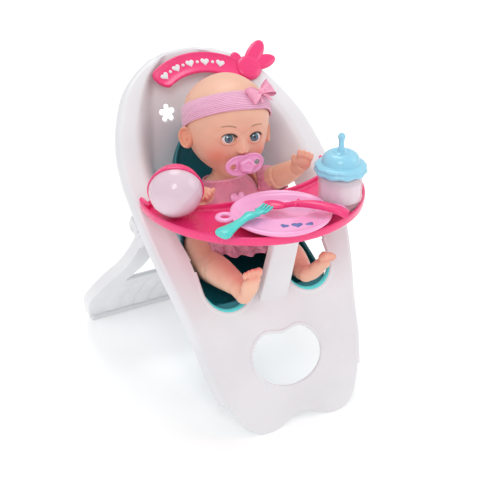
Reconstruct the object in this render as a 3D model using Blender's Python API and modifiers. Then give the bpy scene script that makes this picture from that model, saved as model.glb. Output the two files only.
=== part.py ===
"""Toy baby doll at its meal: the doll sits in its folding high chair, whose pull-off tray carries a bottle,
a ball, a plate, a fork and a spoon. It has a soother in its mouth and a voice module in its body.

Run it with blender --background --python part.py, or from the text editor. Units are metres, +Z is up, the
chair faces -Y, and the origin is the middle of the footprint on the floor.
"""

import math

import bmesh
import bpy
import numpy as np
from mathutils import Matrix, Vector

CM = 0.01
GAP = 0.0003  # between pieces that touch
PLAY = 0.0006  # round a pin, a peg or a button that moves in its hole

# ---------------------------------------------------------------- chair
FRONT_TO_ORIGIN = 13.65 * CM  # front feet line to the middle of the footprint
FRAME_WALL = 0.28 * CM
RIM_SIDE = 0.42 * CM  # how far the rolled edge stands out sideways
RIM_BACK = 0.95 * CM  # how far the rolled edge turns back
PANEL_LEAN = 0.54  # run over rise of the lower panel
PANEL_FOOT_Y = 0.1 * CM
# height, distance back of the rim, half width, distance back of the deepest line
FRAME_STATIONS = [
    (0.05, 0.13, 7.30, 0.13),
    (3.0, 1.72, 7.60, 1.72),
    (6.0, 3.34, 8.00, 3.34),
    (9.0, 4.96, 8.45, 4.96),
    (12.0, 6.58, 9.10, 6.58),
    (14.5, 8.30, 9.70, 9.30),
    (16.5, 10.00, 10.05, 15.50),
    (18.5, 11.75, 10.30, 20.90),
    (20.0, 13.00, 10.40, 21.10),
    (22.0, 15.20, 10.30, 21.30),
    (24.0, 17.30, 9.80, 21.60),
    (26.0, 19.40, 8.70, 22.30),
    (28.0, 21.40, 7.00, 23.20),
    (29.2, 22.75, 5.00, 23.80),
    (29.8, 23.60, 3.40, 24.10),
]
FRAME_TOP = (24.35 * CM, 30.35 * CM)  # distance back and height of the crown of the backrest
CROWN = 0.3 * CM  # how far the middle of the top edge rises over its ends
# shares of the half width where the dish is deepest and where its rim starts
DISH_FLAT, DISH_RIM = 0.45, 0.88
GAP_BOTTOM, GAP_TOP = 13.0 * CM, 18.4 * CM  # heights between which the middle of the frame is open
GAP_SIDE = 0.74  # share of the half width left open there
FOOT_LOBE_X = 3.6 * CM  # where each front foot touches the floor
FOOT_VALLEY = 1.0 * CM  # height of the arch between the front feet
FOOT_CORNER = 3.4 * CM  # height of the rounded lower corner
HEART_HALF_WIDTH = 3.9 * CM
HEART_HALF_HEIGHT = 3.1 * CM
HEART_HEIGHT = 6.75 * CM  # its middle, measured up the panel
HEART_NOTCH = 0.8 * CM
LEG_HOLE_X = 4.45 * CM
LEG_HOLE_R = 2.75 * CM
LEG_HOLE_UP = 14.7 * CM  # centre of the round lower end, measured up the panel
STRUT_WIDE, STRUT_NARROW, STRUT_THICK = 3.2 * CM, 2.7 * CM, 0.9 * CM
STRUT_FOOT = (6.2 * CM, 11.2 * CM)
FLOWER_R = 0.78 * CM
FLOWER_X, FLOWER_Z = 2.85 * CM, 24.9 * CM

HINGE_Y, HINGE_Z = 13.5 * CM, 17.9 * CM
HINGE_PIN_R = 0.3 * CM
HINGE_CAP_R, HINGE_CAP_T = 0.75 * CM, 0.25 * CM
HINGE_OUT = 11.0 * CM  # outer face of the caps
EAR_R = 1.05 * CM
# distance back, height and half width along the rear leg, hinge to floor
REAR_STATIONS = [
    (14.05, 17.00, 9.45),
    (14.90, 14.90, 9.60),
    (16.90, 11.90, 10.30),
    (20.40, 8.45, 11.05),
    (24.60, 4.35, 11.15),
    (28.20, 0.50, 9.70),
]
REAR_WALL = 0.3 * CM
REAR_ARM = 0.8  # share of the half width inside which the rear leg is open, above its panel
REAR_PANEL_TOP = 8.45 * CM
REAR_FLANGE = 0.9 * CM
REAR_BAR = (9.0 * CM, 1.2 * CM, 0.55 * CM)  # half length, width and height of the foot bar
REAR_BAR_Y = 28.5 * CM

SEAT_WALL = 0.22 * CM
# distance back, height, half width and side height along the seat, lip to top of its back
SEAT_STATIONS = [
    (6.70, 11.00, 6.60, 0.50),
    (8.00, 10.20, 6.60, 1.90),
    (10.5, 9.85, 6.55, 3.30),
    (13.5, 10.10, 6.45, 4.30),
    (16.5, 11.50, 6.00, 4.40),
    (18.5, 14.20, 5.30, 3.60),
    (19.5, 17.40, 4.70, 2.60),
    (19.9, 19.50, 4.20, 1.80),
    (20.0, 21.10, 3.70, 1.10),
    (20.0, 22.30, 3.00, 0.60),
    (20.0, 23.30, 2.05, 0.30),
    (20.0, 23.90, 0.80, 0.10),
]
TONGUE_TOP = 1.9 * CM  # below the centre of the round end that it fills
TONGUE_T, TONGUE_IN = 0.85 * CM, 0.3 * CM
SEAT_SCREW_X, SEAT_SCREW_Z = 2.2 * CM, 19.4 * CM
SCREW_R, SCREW_HEAD_R, SCREW_HEAD_T = 0.15 * CM, 0.33 * CM, 0.16 * CM

BANNER_LIFT = 0.45 * CM  # from the rim's plane to the banner's back
BANNER_T = 0.35 * CM
BANNER_R, BANNER_WIDTH = 8.2 * CM, 2.3 * CM
BANNER_X, BANNER_DOWN = 0.35 * CM, 0.95 * CM
BANNER_FROM, BANNER_TO = math.radians(-37), math.radians(45)
BUNNY_X, BUNNY_DOWN, BUNNY_R = 6.1 * CM, 3.75 * CM, 1.3 * CM

# ---------------------------------------------------------------- tray and what stands on it
TRAY_Z = 20.0 * CM
TRAY_FLOOR = 0.3 * CM
TRAY_RIM_H = 0.85 * CM
TRAY_RIM_T = 0.25 * CM
TRAY_OUT = (10.8 * CM, 11.3 * CM, 10.5 * CM)  # half width, half depth and centre of the outer ellipse
TRAY_IN = (9.6 * CM, 4.5 * CM, 12.5 * CM)
TRAY_END_Y = 12.2 * CM
TRAY_PEG_R, TRAY_PEG_X, TRAY_PEG_END = 0.28 * CM, 9.95 * CM, 13.9 * CM

BOTTLE_X, BOTTLE_Y = 5.5 * CM, 3.35 * CM
BOTTLE_R, BOTTLE_WALL = 2.05 * CM, 0.15 * CM
BOTTLE_BASE_R, BOTTLE_BASE_H = 1.8 * CM, 0.95 * CM
BOTTLE_H = 4.2 * CM
COLLAR_H, COLLAR_OUT = 1.5 * CM, 0.32 * CM
CAP_DOME_H, CAP_DOME_R = 1.25 * CM, 1.75 * CM
TEAT_R, TEAT_H = 0.33 * CM, 1.7 * CM

BALL_R, BALL_WALL = 2.45 * CM, 0.15 * CM
BALL_FLANGE = 0.12 * CM
BALL_X, BALL_Y = -8.8 * CM, 8.6 * CM
BALL_TURN, BALL_TILT = math.radians(-28), math.radians(14)

PLATE_X, PLATE_Y, PLATE_R = -1.2 * CM, 2.8 * CM, 4.6 * CM
PLATE_TURN = math.radians(-20)
PLATE_T, PLATE_DEPTH = 0.22 * CM, 0.48 * CM
HANDLE_R, HANDLE_WIRE = 0.66 * CM, 0.2 * CM
SPOON_BOWL, SPOON_WALL = (1.15 * CM, 0.75 * CM, 0.4 * CM), 0.14 * CM
SPOON_ARCH = 0.75 * CM

# ---------------------------------------------------------------- doll, in its own frame: hips at the origin
HIP_Y, HIP_Z = 14.2 * CM, 13.2 * CM
RECLINE = math.radians(-12)
TORSO = (3.5 * CM, 2.75 * CM, 4.5 * CM)  # half width, half depth, half height
TORSO_Z = 3.4 * CM
TORSO_WALL = 0.22 * CM
SEAM = 0.1 * CM  # between the two torso shells
HEAD = (3.95 * CM, 4.4 * CM, 4.8 * CM)
HEAD_AT = (0.0, -1.9 * CM, 12.6 * CM)
HEAD_TURN = (math.radians(4), math.radians(6), math.radians(-7))
HEAD_WALL = 0.3 * CM
HEAD_EAR = (0.35 * CM, 0.65 * CM, 1.05 * CM)
HEAD_EAR_Y, HEAD_EAR_Z = 0.45 * CM, -1.2 * CM
NECK_R = 1.0 * CM
NECK_FLANGE_R, NECK_FLANGE_T = 1.25 * CM, 0.2 * CM
NECK_Y = -0.5 * CM
NECK_LOW, NECK_HIGH = 6.3 * CM, 9.4 * CM  # heights of its two flanges
EYE_R = 0.62 * CM
EYE_X, EYE_Z = 1.3 * CM, -0.8 * CM
NOSE_Z, MOUTH_Z = -1.75 * CM, -3.0 * CM
SHOULDER = (3.3 * CM, 0.0, 5.6 * CM)
HIP = (2.5 * CM, -0.3 * CM, 0.8 * CM)
PEG_R, PEG_FLANGE_R, PEG_FLANGE_T = 0.5 * CM, 0.75 * CM, 0.15 * CM
CLOTH = 0.12 * CM
CLOTH_EASE = 0.06 * CM  # from the body to the inside of the clothes

MODULE = (1.55 * CM, 1.0 * CM, 1.6 * CM)  # half width, half depth, half height of the voice module's case
MODULE_AT = (0.0, 0.65 * CM, 3.6 * CM)
MODULE_WALL = 0.14 * CM
CELL_R, CELL_T = 0.58 * CM, 0.5 * CM
SPEAKER_R, SPEAKER_T = 1.0 * CM, 0.45 * CM
BOARD = (1.25 * CM, 0.16 * CM, 0.62 * CM)  # half width, thickness, half height
BUTTON_R, BUTTON_Z = 0.6 * CM, 4.95 * CM
BUTTON_STROKE = 0.16 * CM  # from the button's back to the switch
SWITCH, SWITCH_DEPTH = 0.28 * CM, 0.16 * CM  # half width and half depth of the switch
DOOR = (1.3 * CM, 1.1 * CM)  # half width and half height of the battery door

# ---------------------------------------------------------------- colour, roughness, metallic, alpha
FINISHES = {
    "white_plastic": ((0.86, 0.87, 0.90), 0.35, 0.0, 1.0),
    "magenta_plastic": ((0.90, 0.04, 0.22), 0.25, 0.0, 1.0),
    "pale_pink_plastic": ((0.93, 0.36, 0.62), 0.25, 0.0, 1.0),
    "turquoise_plastic": ((0.08, 0.66, 0.62), 0.28, 0.0, 1.0),
    "sky_blue_plastic": ((0.30, 0.66, 0.86), 0.25, 0.0, 1.0),
    "teal_plastic": ((0.01, 0.22, 0.27), 0.35, 0.0, 1.0),
    "clear_plastic": ((0.93, 0.80, 0.86), 0.08, 0.0, 0.35),
    "skin_vinyl": ((0.82, 0.42, 0.28), 0.5, 0.0, 1.0),
    "eye_plastic": ((0.12, 0.26, 0.36), 0.08, 0.0, 1.0),
    "satin": ((0.72, 0.26, 0.36), 0.45, 0.0, 1.0),
    "tulle": ((0.80, 0.42, 0.55), 0.7, 0.0, 1.0),
    "knit": ((0.93, 0.42, 0.62), 0.85, 0.0, 1.0),
    "black_plastic": ((0.03, 0.03, 0.03), 0.5, 0.0, 1.0),
    "board_laminate": ((0.03, 0.20, 0.08), 0.5, 0.0, 1.0),
    "steel": ((0.62, 0.63, 0.65), 0.3, 1.0, 1.0),
}

AXIS_TURN = {
    "X": Matrix.Rotation(math.radians(90), 4, "Y"),
    "Y": Matrix.Rotation(math.radians(90), 4, "X"),
    "Z": Matrix.Identity(4),
}


# ---------------------------------------------------------------- scene helpers
def clear_scene():
    for obj in list(bpy.data.objects):
        bpy.data.objects.remove(obj, do_unlink=True)


def make_material(name):
    colour, roughness, metallic, alpha = FINISHES[name]
    material = bpy.data.materials.new(name)
    material.use_nodes = True
    shader = material.node_tree.nodes["Principled BSDF"]
    shader.inputs["Base Color"].default_value = (*colour, 1.0)
    shader.inputs["Roughness"].default_value = roughness
    shader.inputs["Metallic"].default_value = metallic
    shader.inputs["Alpha"].default_value = alpha
    return material


def make_collection(name):
    collection = bpy.data.collections.new(name)
    bpy.context.scene.collection.children.link(collection)
    return collection


def make_empty(name, location=(0, 0, 0), rotation=(0, 0, 0), parent=None):
    empty = bpy.data.objects.new(name, None)
    empty.empty_display_size = 0.02
    empty.location = location
    empty.rotation_euler = rotation
    empty.parent = parent
    PARTS.objects.link(empty)
    return empty


def add(name, mesh, finish=None, parent=None, at=(0, 0, 0), rotation=(0, 0, 0)):
    """A piece where it is parented, or a cutter when it has no finish."""
    obj = bpy.data.objects.new(name, mesh)
    obj.location = at
    obj.rotation_euler = rotation
    obj.parent = parent or PLAYSET
    if finish is None:
        CUTTERS.objects.link(obj)
        obj.hide_render = True
        obj.display_type = "WIRE"
        return obj
    PARTS.objects.link(obj)
    mesh.materials.clear()
    mesh.materials.append(MATERIALS[finish])
    mesh.shade_smooth()
    mesh.set_sharp_from_angle(angle=math.radians(35))
    return obj


def to_mesh(bm, name="shape"):
    mesh = bpy.data.meshes.new(name)
    bm.to_mesh(mesh)
    bm.free()
    return mesh


def shifted(mesh, offset):
    """The mesh moved against its offset, so that an object placed there has it where it was."""
    mesh.transform(Matrix.Translation(-Vector(offset)))
    return mesh


def box_mesh(half, centre=(0, 0, 0), bevel=0.0):
    bm = bmesh.new()
    bmesh.ops.create_cube(bm, size=2.0)
    bmesh.ops.scale(bm, vec=half, verts=bm.verts)
    bmesh.ops.translate(bm, vec=centre, verts=bm.verts)
    if bevel:
        bmesh.ops.bevel(bm, geom=bm.edges[:], offset=bevel, segments=2, affect="EDGES", profile=0.5)
    return to_mesh(bm)


def cylinder_mesh(radius, length, centre=(0, 0, 0), axis="Z", sides=20, top=None):
    bm = bmesh.new()
    bmesh.ops.create_cone(
        bm, cap_ends=True, segments=sides, radius1=radius, radius2=top or radius, depth=length
    )
    bmesh.ops.transform(bm, matrix=Matrix.Translation(centre) @ AXIS_TURN[axis], verts=bm.verts)
    bmesh.ops.recalc_face_normals(bm, faces=bm.faces)
    return to_mesh(bm)


def ellipsoid_bmesh(radii, centre=(0, 0, 0), around=20, up=12):
    bm = bmesh.new()
    bmesh.ops.create_uvsphere(bm, u_segments=around, v_segments=up, radius=1.0)
    bmesh.ops.scale(bm, vec=radii, verts=bm.verts)
    bmesh.ops.translate(bm, vec=centre, verts=bm.verts)
    return bm


def ellipsoid_mesh(radii, centre=(0, 0, 0), around=20, up=12):
    return to_mesh(ellipsoid_bmesh(radii, centre, around, up))


def shell_mesh(radii, wall, centre=(0, 0, 0), cuts=(), around=18, up=10):
    """An ellipsoid's skin, open where each cut (point, normal) takes the side that its normal shows."""
    bm = ellipsoid_bmesh(radii, centre, around, up)
    for point, normal in cuts:
        everything = bm.verts[:] + bm.edges[:] + bm.faces[:]
        bmesh.ops.bisect_plane(
            bm, geom=everything, dist=1e-7, plane_co=point, plane_no=normal, clear_outer=True
        )
    mesh = to_mesh(bm)
    return solid_from_sheet(mesh, wall, offset=-1)


def solid_from_sheet(mesh, wall, offset=0.0):
    """The closed wall that Solidify makes of an open sheet."""
    obj = bpy.data.objects.new("sheet", mesh)
    bpy.context.scene.collection.objects.link(obj)
    solidify = obj.modifiers.new("wall", "SOLIDIFY")
    solidify.thickness = wall
    solidify.offset = offset
    solidify.use_even_offset = True
    return baked(obj)


def baked(obj):
    """The evaluated mesh of a helper object, welded and in its parent's space; the helper is removed."""
    bpy.context.view_layer.update()
    graph = bpy.context.evaluated_depsgraph_get()
    mesh = bpy.data.meshes.new_from_object(obj.evaluated_get(graph))
    mesh.transform(obj.matrix_basis)
    bm = bmesh.new()
    bm.from_mesh(mesh)
    bmesh.ops.remove_doubles(bm, verts=bm.verts, dist=1e-6)
    bmesh.ops.recalc_face_normals(bm, faces=bm.faces)
    bm.to_mesh(mesh)
    bm.free()
    bpy.data.objects.remove(obj, do_unlink=True)
    return mesh


def grid_mesh(*grids):
    """One sheet of the grids (points[row][column], keep), where keep says which cells have a face."""
    bm = bmesh.new()
    for points, keep in grids:
        rows, columns = points.shape[:2]
        keep = np.ones((rows - 1, columns - 1), bool) if keep is None else keep
        verts = [[bm.verts.new(point) for point in row] for row in points]
        for i, j in zip(*np.nonzero(keep)):
            bm.faces.new((verts[i][j], verts[i][j + 1], verts[i + 1][j + 1], verts[i + 1][j]))
    bmesh.ops.remove_doubles(bm, verts=bm.verts, dist=1e-5)
    bmesh.ops.dissolve_degenerate(bm, edges=bm.edges, dist=1e-5)
    loose = [vert for vert in bm.verts if not vert.link_faces]
    bmesh.ops.delete(bm, geom=loose, context="VERTS")
    bmesh.ops.recalc_face_normals(bm, faces=bm.faces)
    return to_mesh(bm)


def tube_mesh(points, radii, resolution=2, closed=False):
    """A round bar through the points, with its own radius at each."""
    curve = bpy.data.curves.new("tube", "CURVE")
    curve.dimensions = "3D"
    curve.bevel_depth = 1.0
    curve.bevel_resolution = resolution
    curve.use_fill_caps = not closed
    spline = curve.splines.new("POLY")
    spline.points.add(len(points) - 1)
    spline.use_cyclic_u = closed
    radii = [radii] * len(points) if isinstance(radii, float) else radii
    for knot, point, radius in zip(spline.points, points, radii):
        knot.co = (*point, 1.0)
        knot.radius = radius
    obj = bpy.data.objects.new("tube", curve)
    bpy.context.scene.collection.objects.link(obj)
    mesh = baked(obj)
    bpy.data.curves.remove(curve)
    return mesh


def slab_mesh(outline, thickness):
    """The flat outline in X and Y, thickened both ways along Z."""
    curve = bpy.data.curves.new("outline", "CURVE")
    curve.dimensions = "2D"
    curve.fill_mode = "BOTH"
    curve.extrude = thickness / 2
    spline = curve.splines.new("POLY")
    spline.points.add(len(outline) - 1)
    spline.use_cyclic_u = True
    for knot, (x, y) in zip(spline.points, outline):
        knot.co = (x, y, 0.0, 1.0)
    obj = bpy.data.objects.new("outline", curve)
    bpy.context.scene.collection.objects.link(obj)
    mesh = baked(obj)
    bpy.data.curves.remove(curve)
    return mesh


def turned(name, profile, finish, at, parent=None, steps=20):
    """A turned piece: the profile (radius, height) runs down its outer side and back up its inner one."""
    bm = bmesh.new()
    verts = [bm.verts.new((radius, 0.0, height)) for radius, height in profile]
    for first, second in zip(verts, verts[1:]):
        bm.edges.new((first, second))
    obj = add(name, to_mesh(bm), finish, parent, at)
    screw = obj.modifiers.new("turn", "SCREW")
    screw.steps = screw.render_steps = steps
    screw.use_merge_vertices = True
    screw.merge_threshold = 0.00002
    screw.use_smooth_shade = True
    return obj


def combine(obj, other, operation):
    modifier = obj.modifiers.new(f"{operation.lower()} {other.name}", "BOOLEAN")
    modifier.operation = operation
    modifier.object = other
    modifier.solver = "EXACT"
    return obj


def join(obj, mesh, name):
    """Adds a mesh given in the object's own space to it, as one body."""
    return combine(obj, add(name, mesh, None, obj.parent, obj.location, obj.rotation_euler), "UNION")


def cut(obj, mesh, name, parent=None):
    return combine(obj, add(name, mesh, None, parent or obj.parent), "DIFFERENCE")


def eased(value, low, high):
    """A smooth step from 0 at low to 1 at high."""
    share = np.clip((value - low) / (high - low), 0.0, 1.0)
    return share * share * (3 - 2 * share)


def catmull(stations, per_span):
    """Rows read from a smooth curve through the stations, per_span to each span."""
    keys = np.array(stations, float)
    padded = np.vstack([2 * keys[0] - keys[1], keys, 2 * keys[-1] - keys[-2]])
    rows = []
    for i in range(1, len(padded) - 2):
        before, start, end, after = padded[i - 1 : i + 3]
        for step in range(per_span):
            t = step / per_span
            rows.append(
                0.5
                * (
                    2 * start
                    + (end - before) * t
                    + (2 * before - 5 * start + 4 * end - after) * t**2
                    + (3 * start - before - 3 * end + after) * t**3
                )
            )
    rows.append(keys[-1])
    return np.array(rows)


# ---------------------------------------------------------------- chair
def up_panel(x, up, out=0.0):
    """The point that far up the lower panel from its foot, and that far out of its front face."""
    slope = math.atan(PANEL_LEAN)
    y = PANEL_FOOT_Y + up * math.sin(slope) - out * math.cos(slope)
    return (x, y, up * math.cos(slope) + out * math.sin(slope))


def panel_matrix(up=0.0):
    """Turns a slab in X and Y into the lower panel's plane, its centre that far up."""
    return Matrix.Translation(up_panel(0, up)) @ Matrix.Rotation(
        math.radians(90) - math.atan(PANEL_LEAN), 4, "X"
    )


def foot_rise(x):
    """Height of the frame's lower edge: two round feet with a low arch between them."""
    x = np.abs(x)
    arch = FOOT_VALLEY * 0.5 * (1 + np.cos(np.pi * np.clip(x / FOOT_LOBE_X, 0, 1)))
    outer = np.clip((x - FOOT_LOBE_X) / (FRAME_STATIONS[0][2] * CM - FOOT_LOBE_X), 0, 1)
    return np.where(x < FOOT_LOBE_X, arch, FOOT_CORNER * outer**2.5)


def frame_sheet():
    """The frame's middle surface: a flat panel that becomes a deep egg-shaped dish, and its edge."""
    rows = catmull(FRAME_STATIONS, 1) * CM
    rows[0] = np.array(FRAME_STATIONS[0]) * CM
    share = np.linspace(-1, 1, 19)
    depth = 1 - eased(np.abs(share), DISH_FLAT, DISH_RIM)
    height, rim, half, deepest = (column[:, None] for column in rows.T)
    x = share * half
    y = rim + (deepest - rim) * depth
    # The lowest rows follow the feet's edge.
    soft = np.clip(1 - height / (6 * CM), 0, 1)
    lift = foot_rise(share * rows[0][2]) * soft
    z = height + 0 * x + lift
    y = y + lift * PANEL_LEAN
    y[-1] += CROWN * PANEL_LEAN * (1 - share**2)
    z[-1] += CROWN * (1 - share**2)
    middle = np.stack([x, y, z], axis=2)
    slope = np.gradient(rows[:, :2], axis=0)
    slope /= np.linalg.norm(slope, axis=1)[:, None]
    top = np.repeat(slope[-1:], len(share) - 2, axis=0)
    edge = np.concatenate([middle[:, 0], middle[-1, 1:-1], middle[::-1, -1]])
    slope = np.concatenate([slope, top, slope[::-1]])
    centre_z = 0.5 * (height[1:, 0] + height[:-1, 0])
    in_gap = (centre_z > GAP_BOTTOM) & (centre_z < GAP_TOP)
    cell_share = np.abs(0.5 * (share[1:] + share[:-1]))
    keep = ~(in_gap[:, None] & (cell_share < GAP_SIDE)[None])
    return (middle, keep), (rolled_edge(edge, slope), None)


def rolled_edge(edge, slope):
    """A strip that turns out and back from the outline; slope is its plane's (rise, run)."""
    rise, lean = slope.T
    along = np.gradient(edge, axis=0)
    across, up = along[:, 0], along[:, 1] * lean + along[:, 2] * rise
    length = np.hypot(across, up)
    out_x, out_up = -up / length, across / length
    strip = [edge]
    for out, back in ((0.7, 0.22), (1.0, 0.6), (1.0, 1.0)):
        moved = edge.copy()
        moved[:, 0] += out * RIM_SIDE * out_x
        moved[:, 1] += out * RIM_SIDE * out_up * lean + back * RIM_BACK * rise
        moved[:, 2] += out * RIM_SIDE * out_up * rise - back * RIM_BACK * lean
        strip.append(moved)
    return np.stack(strip, axis=1)


def heart_outline(points=36):
    angles = np.linspace(0, 2 * math.pi, points, endpoint=False)
    from_top = np.minimum(angles, 2 * math.pi - angles)
    x = HEART_HALF_WIDTH * np.sin(angles)
    y = HEART_HALF_HEIGHT * np.cos(angles) - HEART_NOTCH * np.exp(-((from_top / 0.4) ** 2))
    return list(zip(x, y))


def leg_hole_outline(points=15):
    """A slot whose lower end is round; its upper end is in the frame's open middle."""
    angles = np.linspace(math.pi, 2 * math.pi, points)
    bottom = [(LEG_HOLE_R * math.cos(a), LEG_HOLE_R * math.sin(a)) for a in angles]
    return [*bottom, (LEG_HOLE_R, 3 * CM), (-LEG_HOLE_R, 3 * CM)]


def flower_outline(radius, points=30):
    angles = np.linspace(0, 2 * math.pi, points, endpoint=False)
    reach = radius * (1 + 0.3 * np.cos(5 * angles))
    return list(zip(reach * np.sin(angles), reach * np.cos(angles)))


def chair_frame():
    frame = add("chair_frame", solid_from_sheet(grid_mesh(*frame_sheet()), FRAME_WALL), "white_plastic")
    heart = slab_mesh(heart_outline(), 4 * CM)
    heart.transform(panel_matrix(HEART_HEIGHT))
    cut(frame, heart, "heart_cutter")
    for side in (-1, 1):
        leg_hole = slab_mesh(leg_hole_outline(), 4 * CM)
        leg_hole.transform(panel_matrix(LEG_HOLE_UP) @ Matrix.Translation((side * LEG_HOLE_X, 0, 0)))
        cut(frame, leg_hole, f"leg_hole_cutter_{side}")
        flower = slab_mesh(flower_outline(FLOWER_R), 4 * CM)
        flower.transform(Matrix.Translation((side * FLOWER_X, 22 * CM, FLOWER_Z)) @ AXIS_TURN["Y"])
        cut(frame, flower, f"flower_cutter_{side}")
    strut_top = TRAY_Z - GAP
    foot_y, foot_z = STRUT_FOOT
    top_y = foot_y - (strut_top - foot_z) * math.tan(math.radians(18))
    strut = box_mesh((1, 1, 0.5))
    for vert in strut.vertices:
        high = vert.co.z > 0
        vert.co.x *= (STRUT_NARROW if high else STRUT_WIDE) / 2
        vert.co.y = vert.co.y * STRUT_THICK / 2 + (top_y if high else foot_y)
        vert.co.z = strut_top if high else foot_z
    join(frame, strut, "strut_joiner")
    for side in (-1, 1):
        low_x, high_x = 9.95 * CM, HINGE_OUT - HINGE_CAP_T - GAP
        ear = cylinder_mesh(
            EAR_R, high_x - low_x, (side * (low_x + high_x) / 2, HINGE_Y, HINGE_Z), "X"
        )
        join(frame, ear, f"ear_joiner_{side}")
        hole = cylinder_mesh(HINGE_PIN_R + PLAY, 6 * CM, (side * 10.4 * CM, HINGE_Y, HINGE_Z), "X", 16)
        cut(frame, hole, f"ear_hole_cutter_{side}")
        tray_hole = cylinder_mesh(
            TRAY_PEG_R + PLAY, 5 * CM, (side * TRAY_PEG_X, 13.5 * CM, TRAY_Z + TRAY_RIM_H / 2), "Y", 16
        )
        cut(frame, tray_hole, f"tray_hole_cutter_{side}")
        screw_hole = cylinder_mesh(
            SCREW_R + PLAY, 3 * CM, (side * SEAT_SCREW_X, 21.3 * CM, SEAT_SCREW_Z), "Y", 12
        )
        cut(frame, screw_hole, f"seat_screw_cutter_{side}")
    return frame


def rear_leg():
    rows = catmull(REAR_STATIONS, 2) * CM
    share = np.linspace(-1, 1, 11)
    y, z, half = (column[:, None] for column in rows.T)
    middle = np.stack([share * half, y + 0 * share, z + 0 * share], axis=2)
    back = np.gradient(rows[:, :2], axis=0)
    back /= np.linalg.norm(back, axis=1)[:, None]
    sides = []
    for column in (0, -1):
        flange = middle[:, column].copy()
        flange[:, 1] -= back[:, 1] * REAR_FLANGE
        flange[:, 2] += back[:, 0] * REAR_FLANGE
        sides.append(flange[:, None])
    points = np.concatenate([sides[0], middle, sides[1]], axis=1)
    cell_z = 0.5 * (z[1:, 0] + z[:-1, 0])
    cell_share = np.abs(0.5 * (share[1:] + share[:-1]))
    keep = np.ones((points.shape[0] - 1, points.shape[1] - 1), bool)
    keep[:, 1:-1] = ~((cell_z > REAR_PANEL_TOP)[:, None] & (cell_share < REAR_ARM)[None])
    at = (0, HINGE_Y, HINGE_Z)
    mesh = shifted(solid_from_sheet(grid_mesh((points, keep)), REAR_WALL), at)
    leg = add("rear_leg", mesh, "white_plastic", at=at)
    half_length, width, height = REAR_BAR
    bar = box_mesh(
        (half_length, width / 2, height / 2), (0, REAR_BAR_Y, height / 2), bevel=0.12 * CM
    )
    join(leg, shifted(bar, at), "foot_bar_joiner")
    for side in (-1, 1):
        inner, outer = 9.05 * CM, 9.95 * CM - GAP
        middle_x = side * (inner + outer) / 2
        eye = cylinder_mesh(EAR_R, outer - inner, (middle_x, HINGE_Y, HINGE_Z), "X")
        join(leg, shifted(eye, at), f"eye_joiner_{side}")
        link = box_mesh(((outer - inner) / 2, 0.8 * CM, 1.0 * CM))
        link.transform(
            Matrix.Translation((middle_x, 14.0 * CM, 16.9 * CM)) @ Matrix.Rotation(math.radians(22), 4, "X")
        )
        join(leg, shifted(link, at), f"link_joiner_{side}")
        hole = cylinder_mesh(HINGE_PIN_R + PLAY, 3 * CM, (middle_x, HINGE_Y, HINGE_Z), "X", 16)
        cut(leg, hole, f"eye_hole_cutter_{side}")
    return leg


def hinge_pins():
    for name, side in (("hinge_pin_right", -1), ("hinge_pin_left", 1)):
        at = (side * HINGE_OUT, HINGE_Y, HINGE_Z)
        inner = 8.8 * CM
        pin = add(
            name,
            cylinder_mesh(HINGE_CAP_R, HINGE_CAP_T, (-side * HINGE_CAP_T / 2, 0, 0), "X", 24),
            "white_plastic",
            at=at,
        )
        length = HINGE_OUT - inner - HINGE_CAP_T / 2
        centre = -side * (HINGE_CAP_T / 2 + length / 2)
        join(pin, cylinder_mesh(HINGE_PIN_R, length, (centre, 0, 0), "X", 16), f"{name}_shaft")


def seat_bucket():
    rows = catmull(SEAT_STATIONS, 1) * CM
    share = np.linspace(-1, 1, 13)
    y, z, half, side = (column[:, None] for column in rows.T)
    along = np.gradient(rows[:, :2], axis=0)
    along /= np.linalg.norm(along, axis=1)[:, None]
    x = half * np.sin(share * math.pi / 2) * (1 - 0.04 * share**2)
    rise = side * np.abs(share) ** 2.6
    points = np.stack([x, y - rise * along[:, 1:2], z + rise * along[:, 0:1]], axis=2)
    seat = add("seat_bucket", solid_from_sheet(grid_mesh((points, None)), SEAT_WALL), "teal_plastic")
    for sign in (-1, 1):
        reach = LEG_HOLE_R - 0.06 * CM
        low = math.asin(TONGUE_TOP / reach)
        angles = np.linspace(math.pi + low, 2 * math.pi - low, 11)
        tongue = slab_mesh([(reach * math.cos(a), reach * math.sin(a)) for a in angles], TONGUE_T)
        place = Matrix.Translation((sign * LEG_HOLE_X, 0, -TONGUE_IN))
        tongue.transform(panel_matrix(LEG_HOLE_UP) @ place)
        join(seat, tongue, f"seat_tongue_{sign}")
        at = (sign * SEAT_SCREW_X, 0, SEAT_SCREW_Z)
        boss = cylinder_mesh(0.45 * CM, 0.75 * CM, (at[0], 20.25 * CM, at[2]), "Y", 16)
        join(seat, boss, f"seat_boss_{sign}")
        hole = cylinder_mesh(SCREW_R + PLAY, 2 * CM, (at[0], 20.9 * CM, at[2]), "Y", 12)
        cut(seat, hole, f"seat_hole_cutter_{sign}")
    return seat


def seat_screws():
    """They pass the dish's back wall into the bosses on the seat."""
    for name, side in (("seat_screw_right", -1), ("seat_screw_left", 1)):
        head_y = 21.58 * CM
        screw = add(
            name,
            cylinder_mesh(SCREW_HEAD_R, SCREW_HEAD_T, (0, SCREW_HEAD_T / 2, 0), "Y", 16),
            "steel",
            at=(side * SEAT_SCREW_X, head_y, SEAT_SCREW_Z),
        )
        length = 1.35 * CM
        centre = (0, 0.05 * CM - length / 2, 0)
        join(screw, cylinder_mesh(SCREW_R, length, centre, "Y", 12), f"{name}_shaft")


def rim_matrix(lift):
    """The rim's leaning plane below the crown: X across, Y up the plane, Z out of its front."""
    top_y, top_z = FRAME_TOP
    return (
        Matrix.Translation((0, top_y, top_z))
        @ Matrix.Rotation(math.radians(43), 4, "X")
        @ Matrix.Translation((0, 0, lift))
    )


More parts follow.
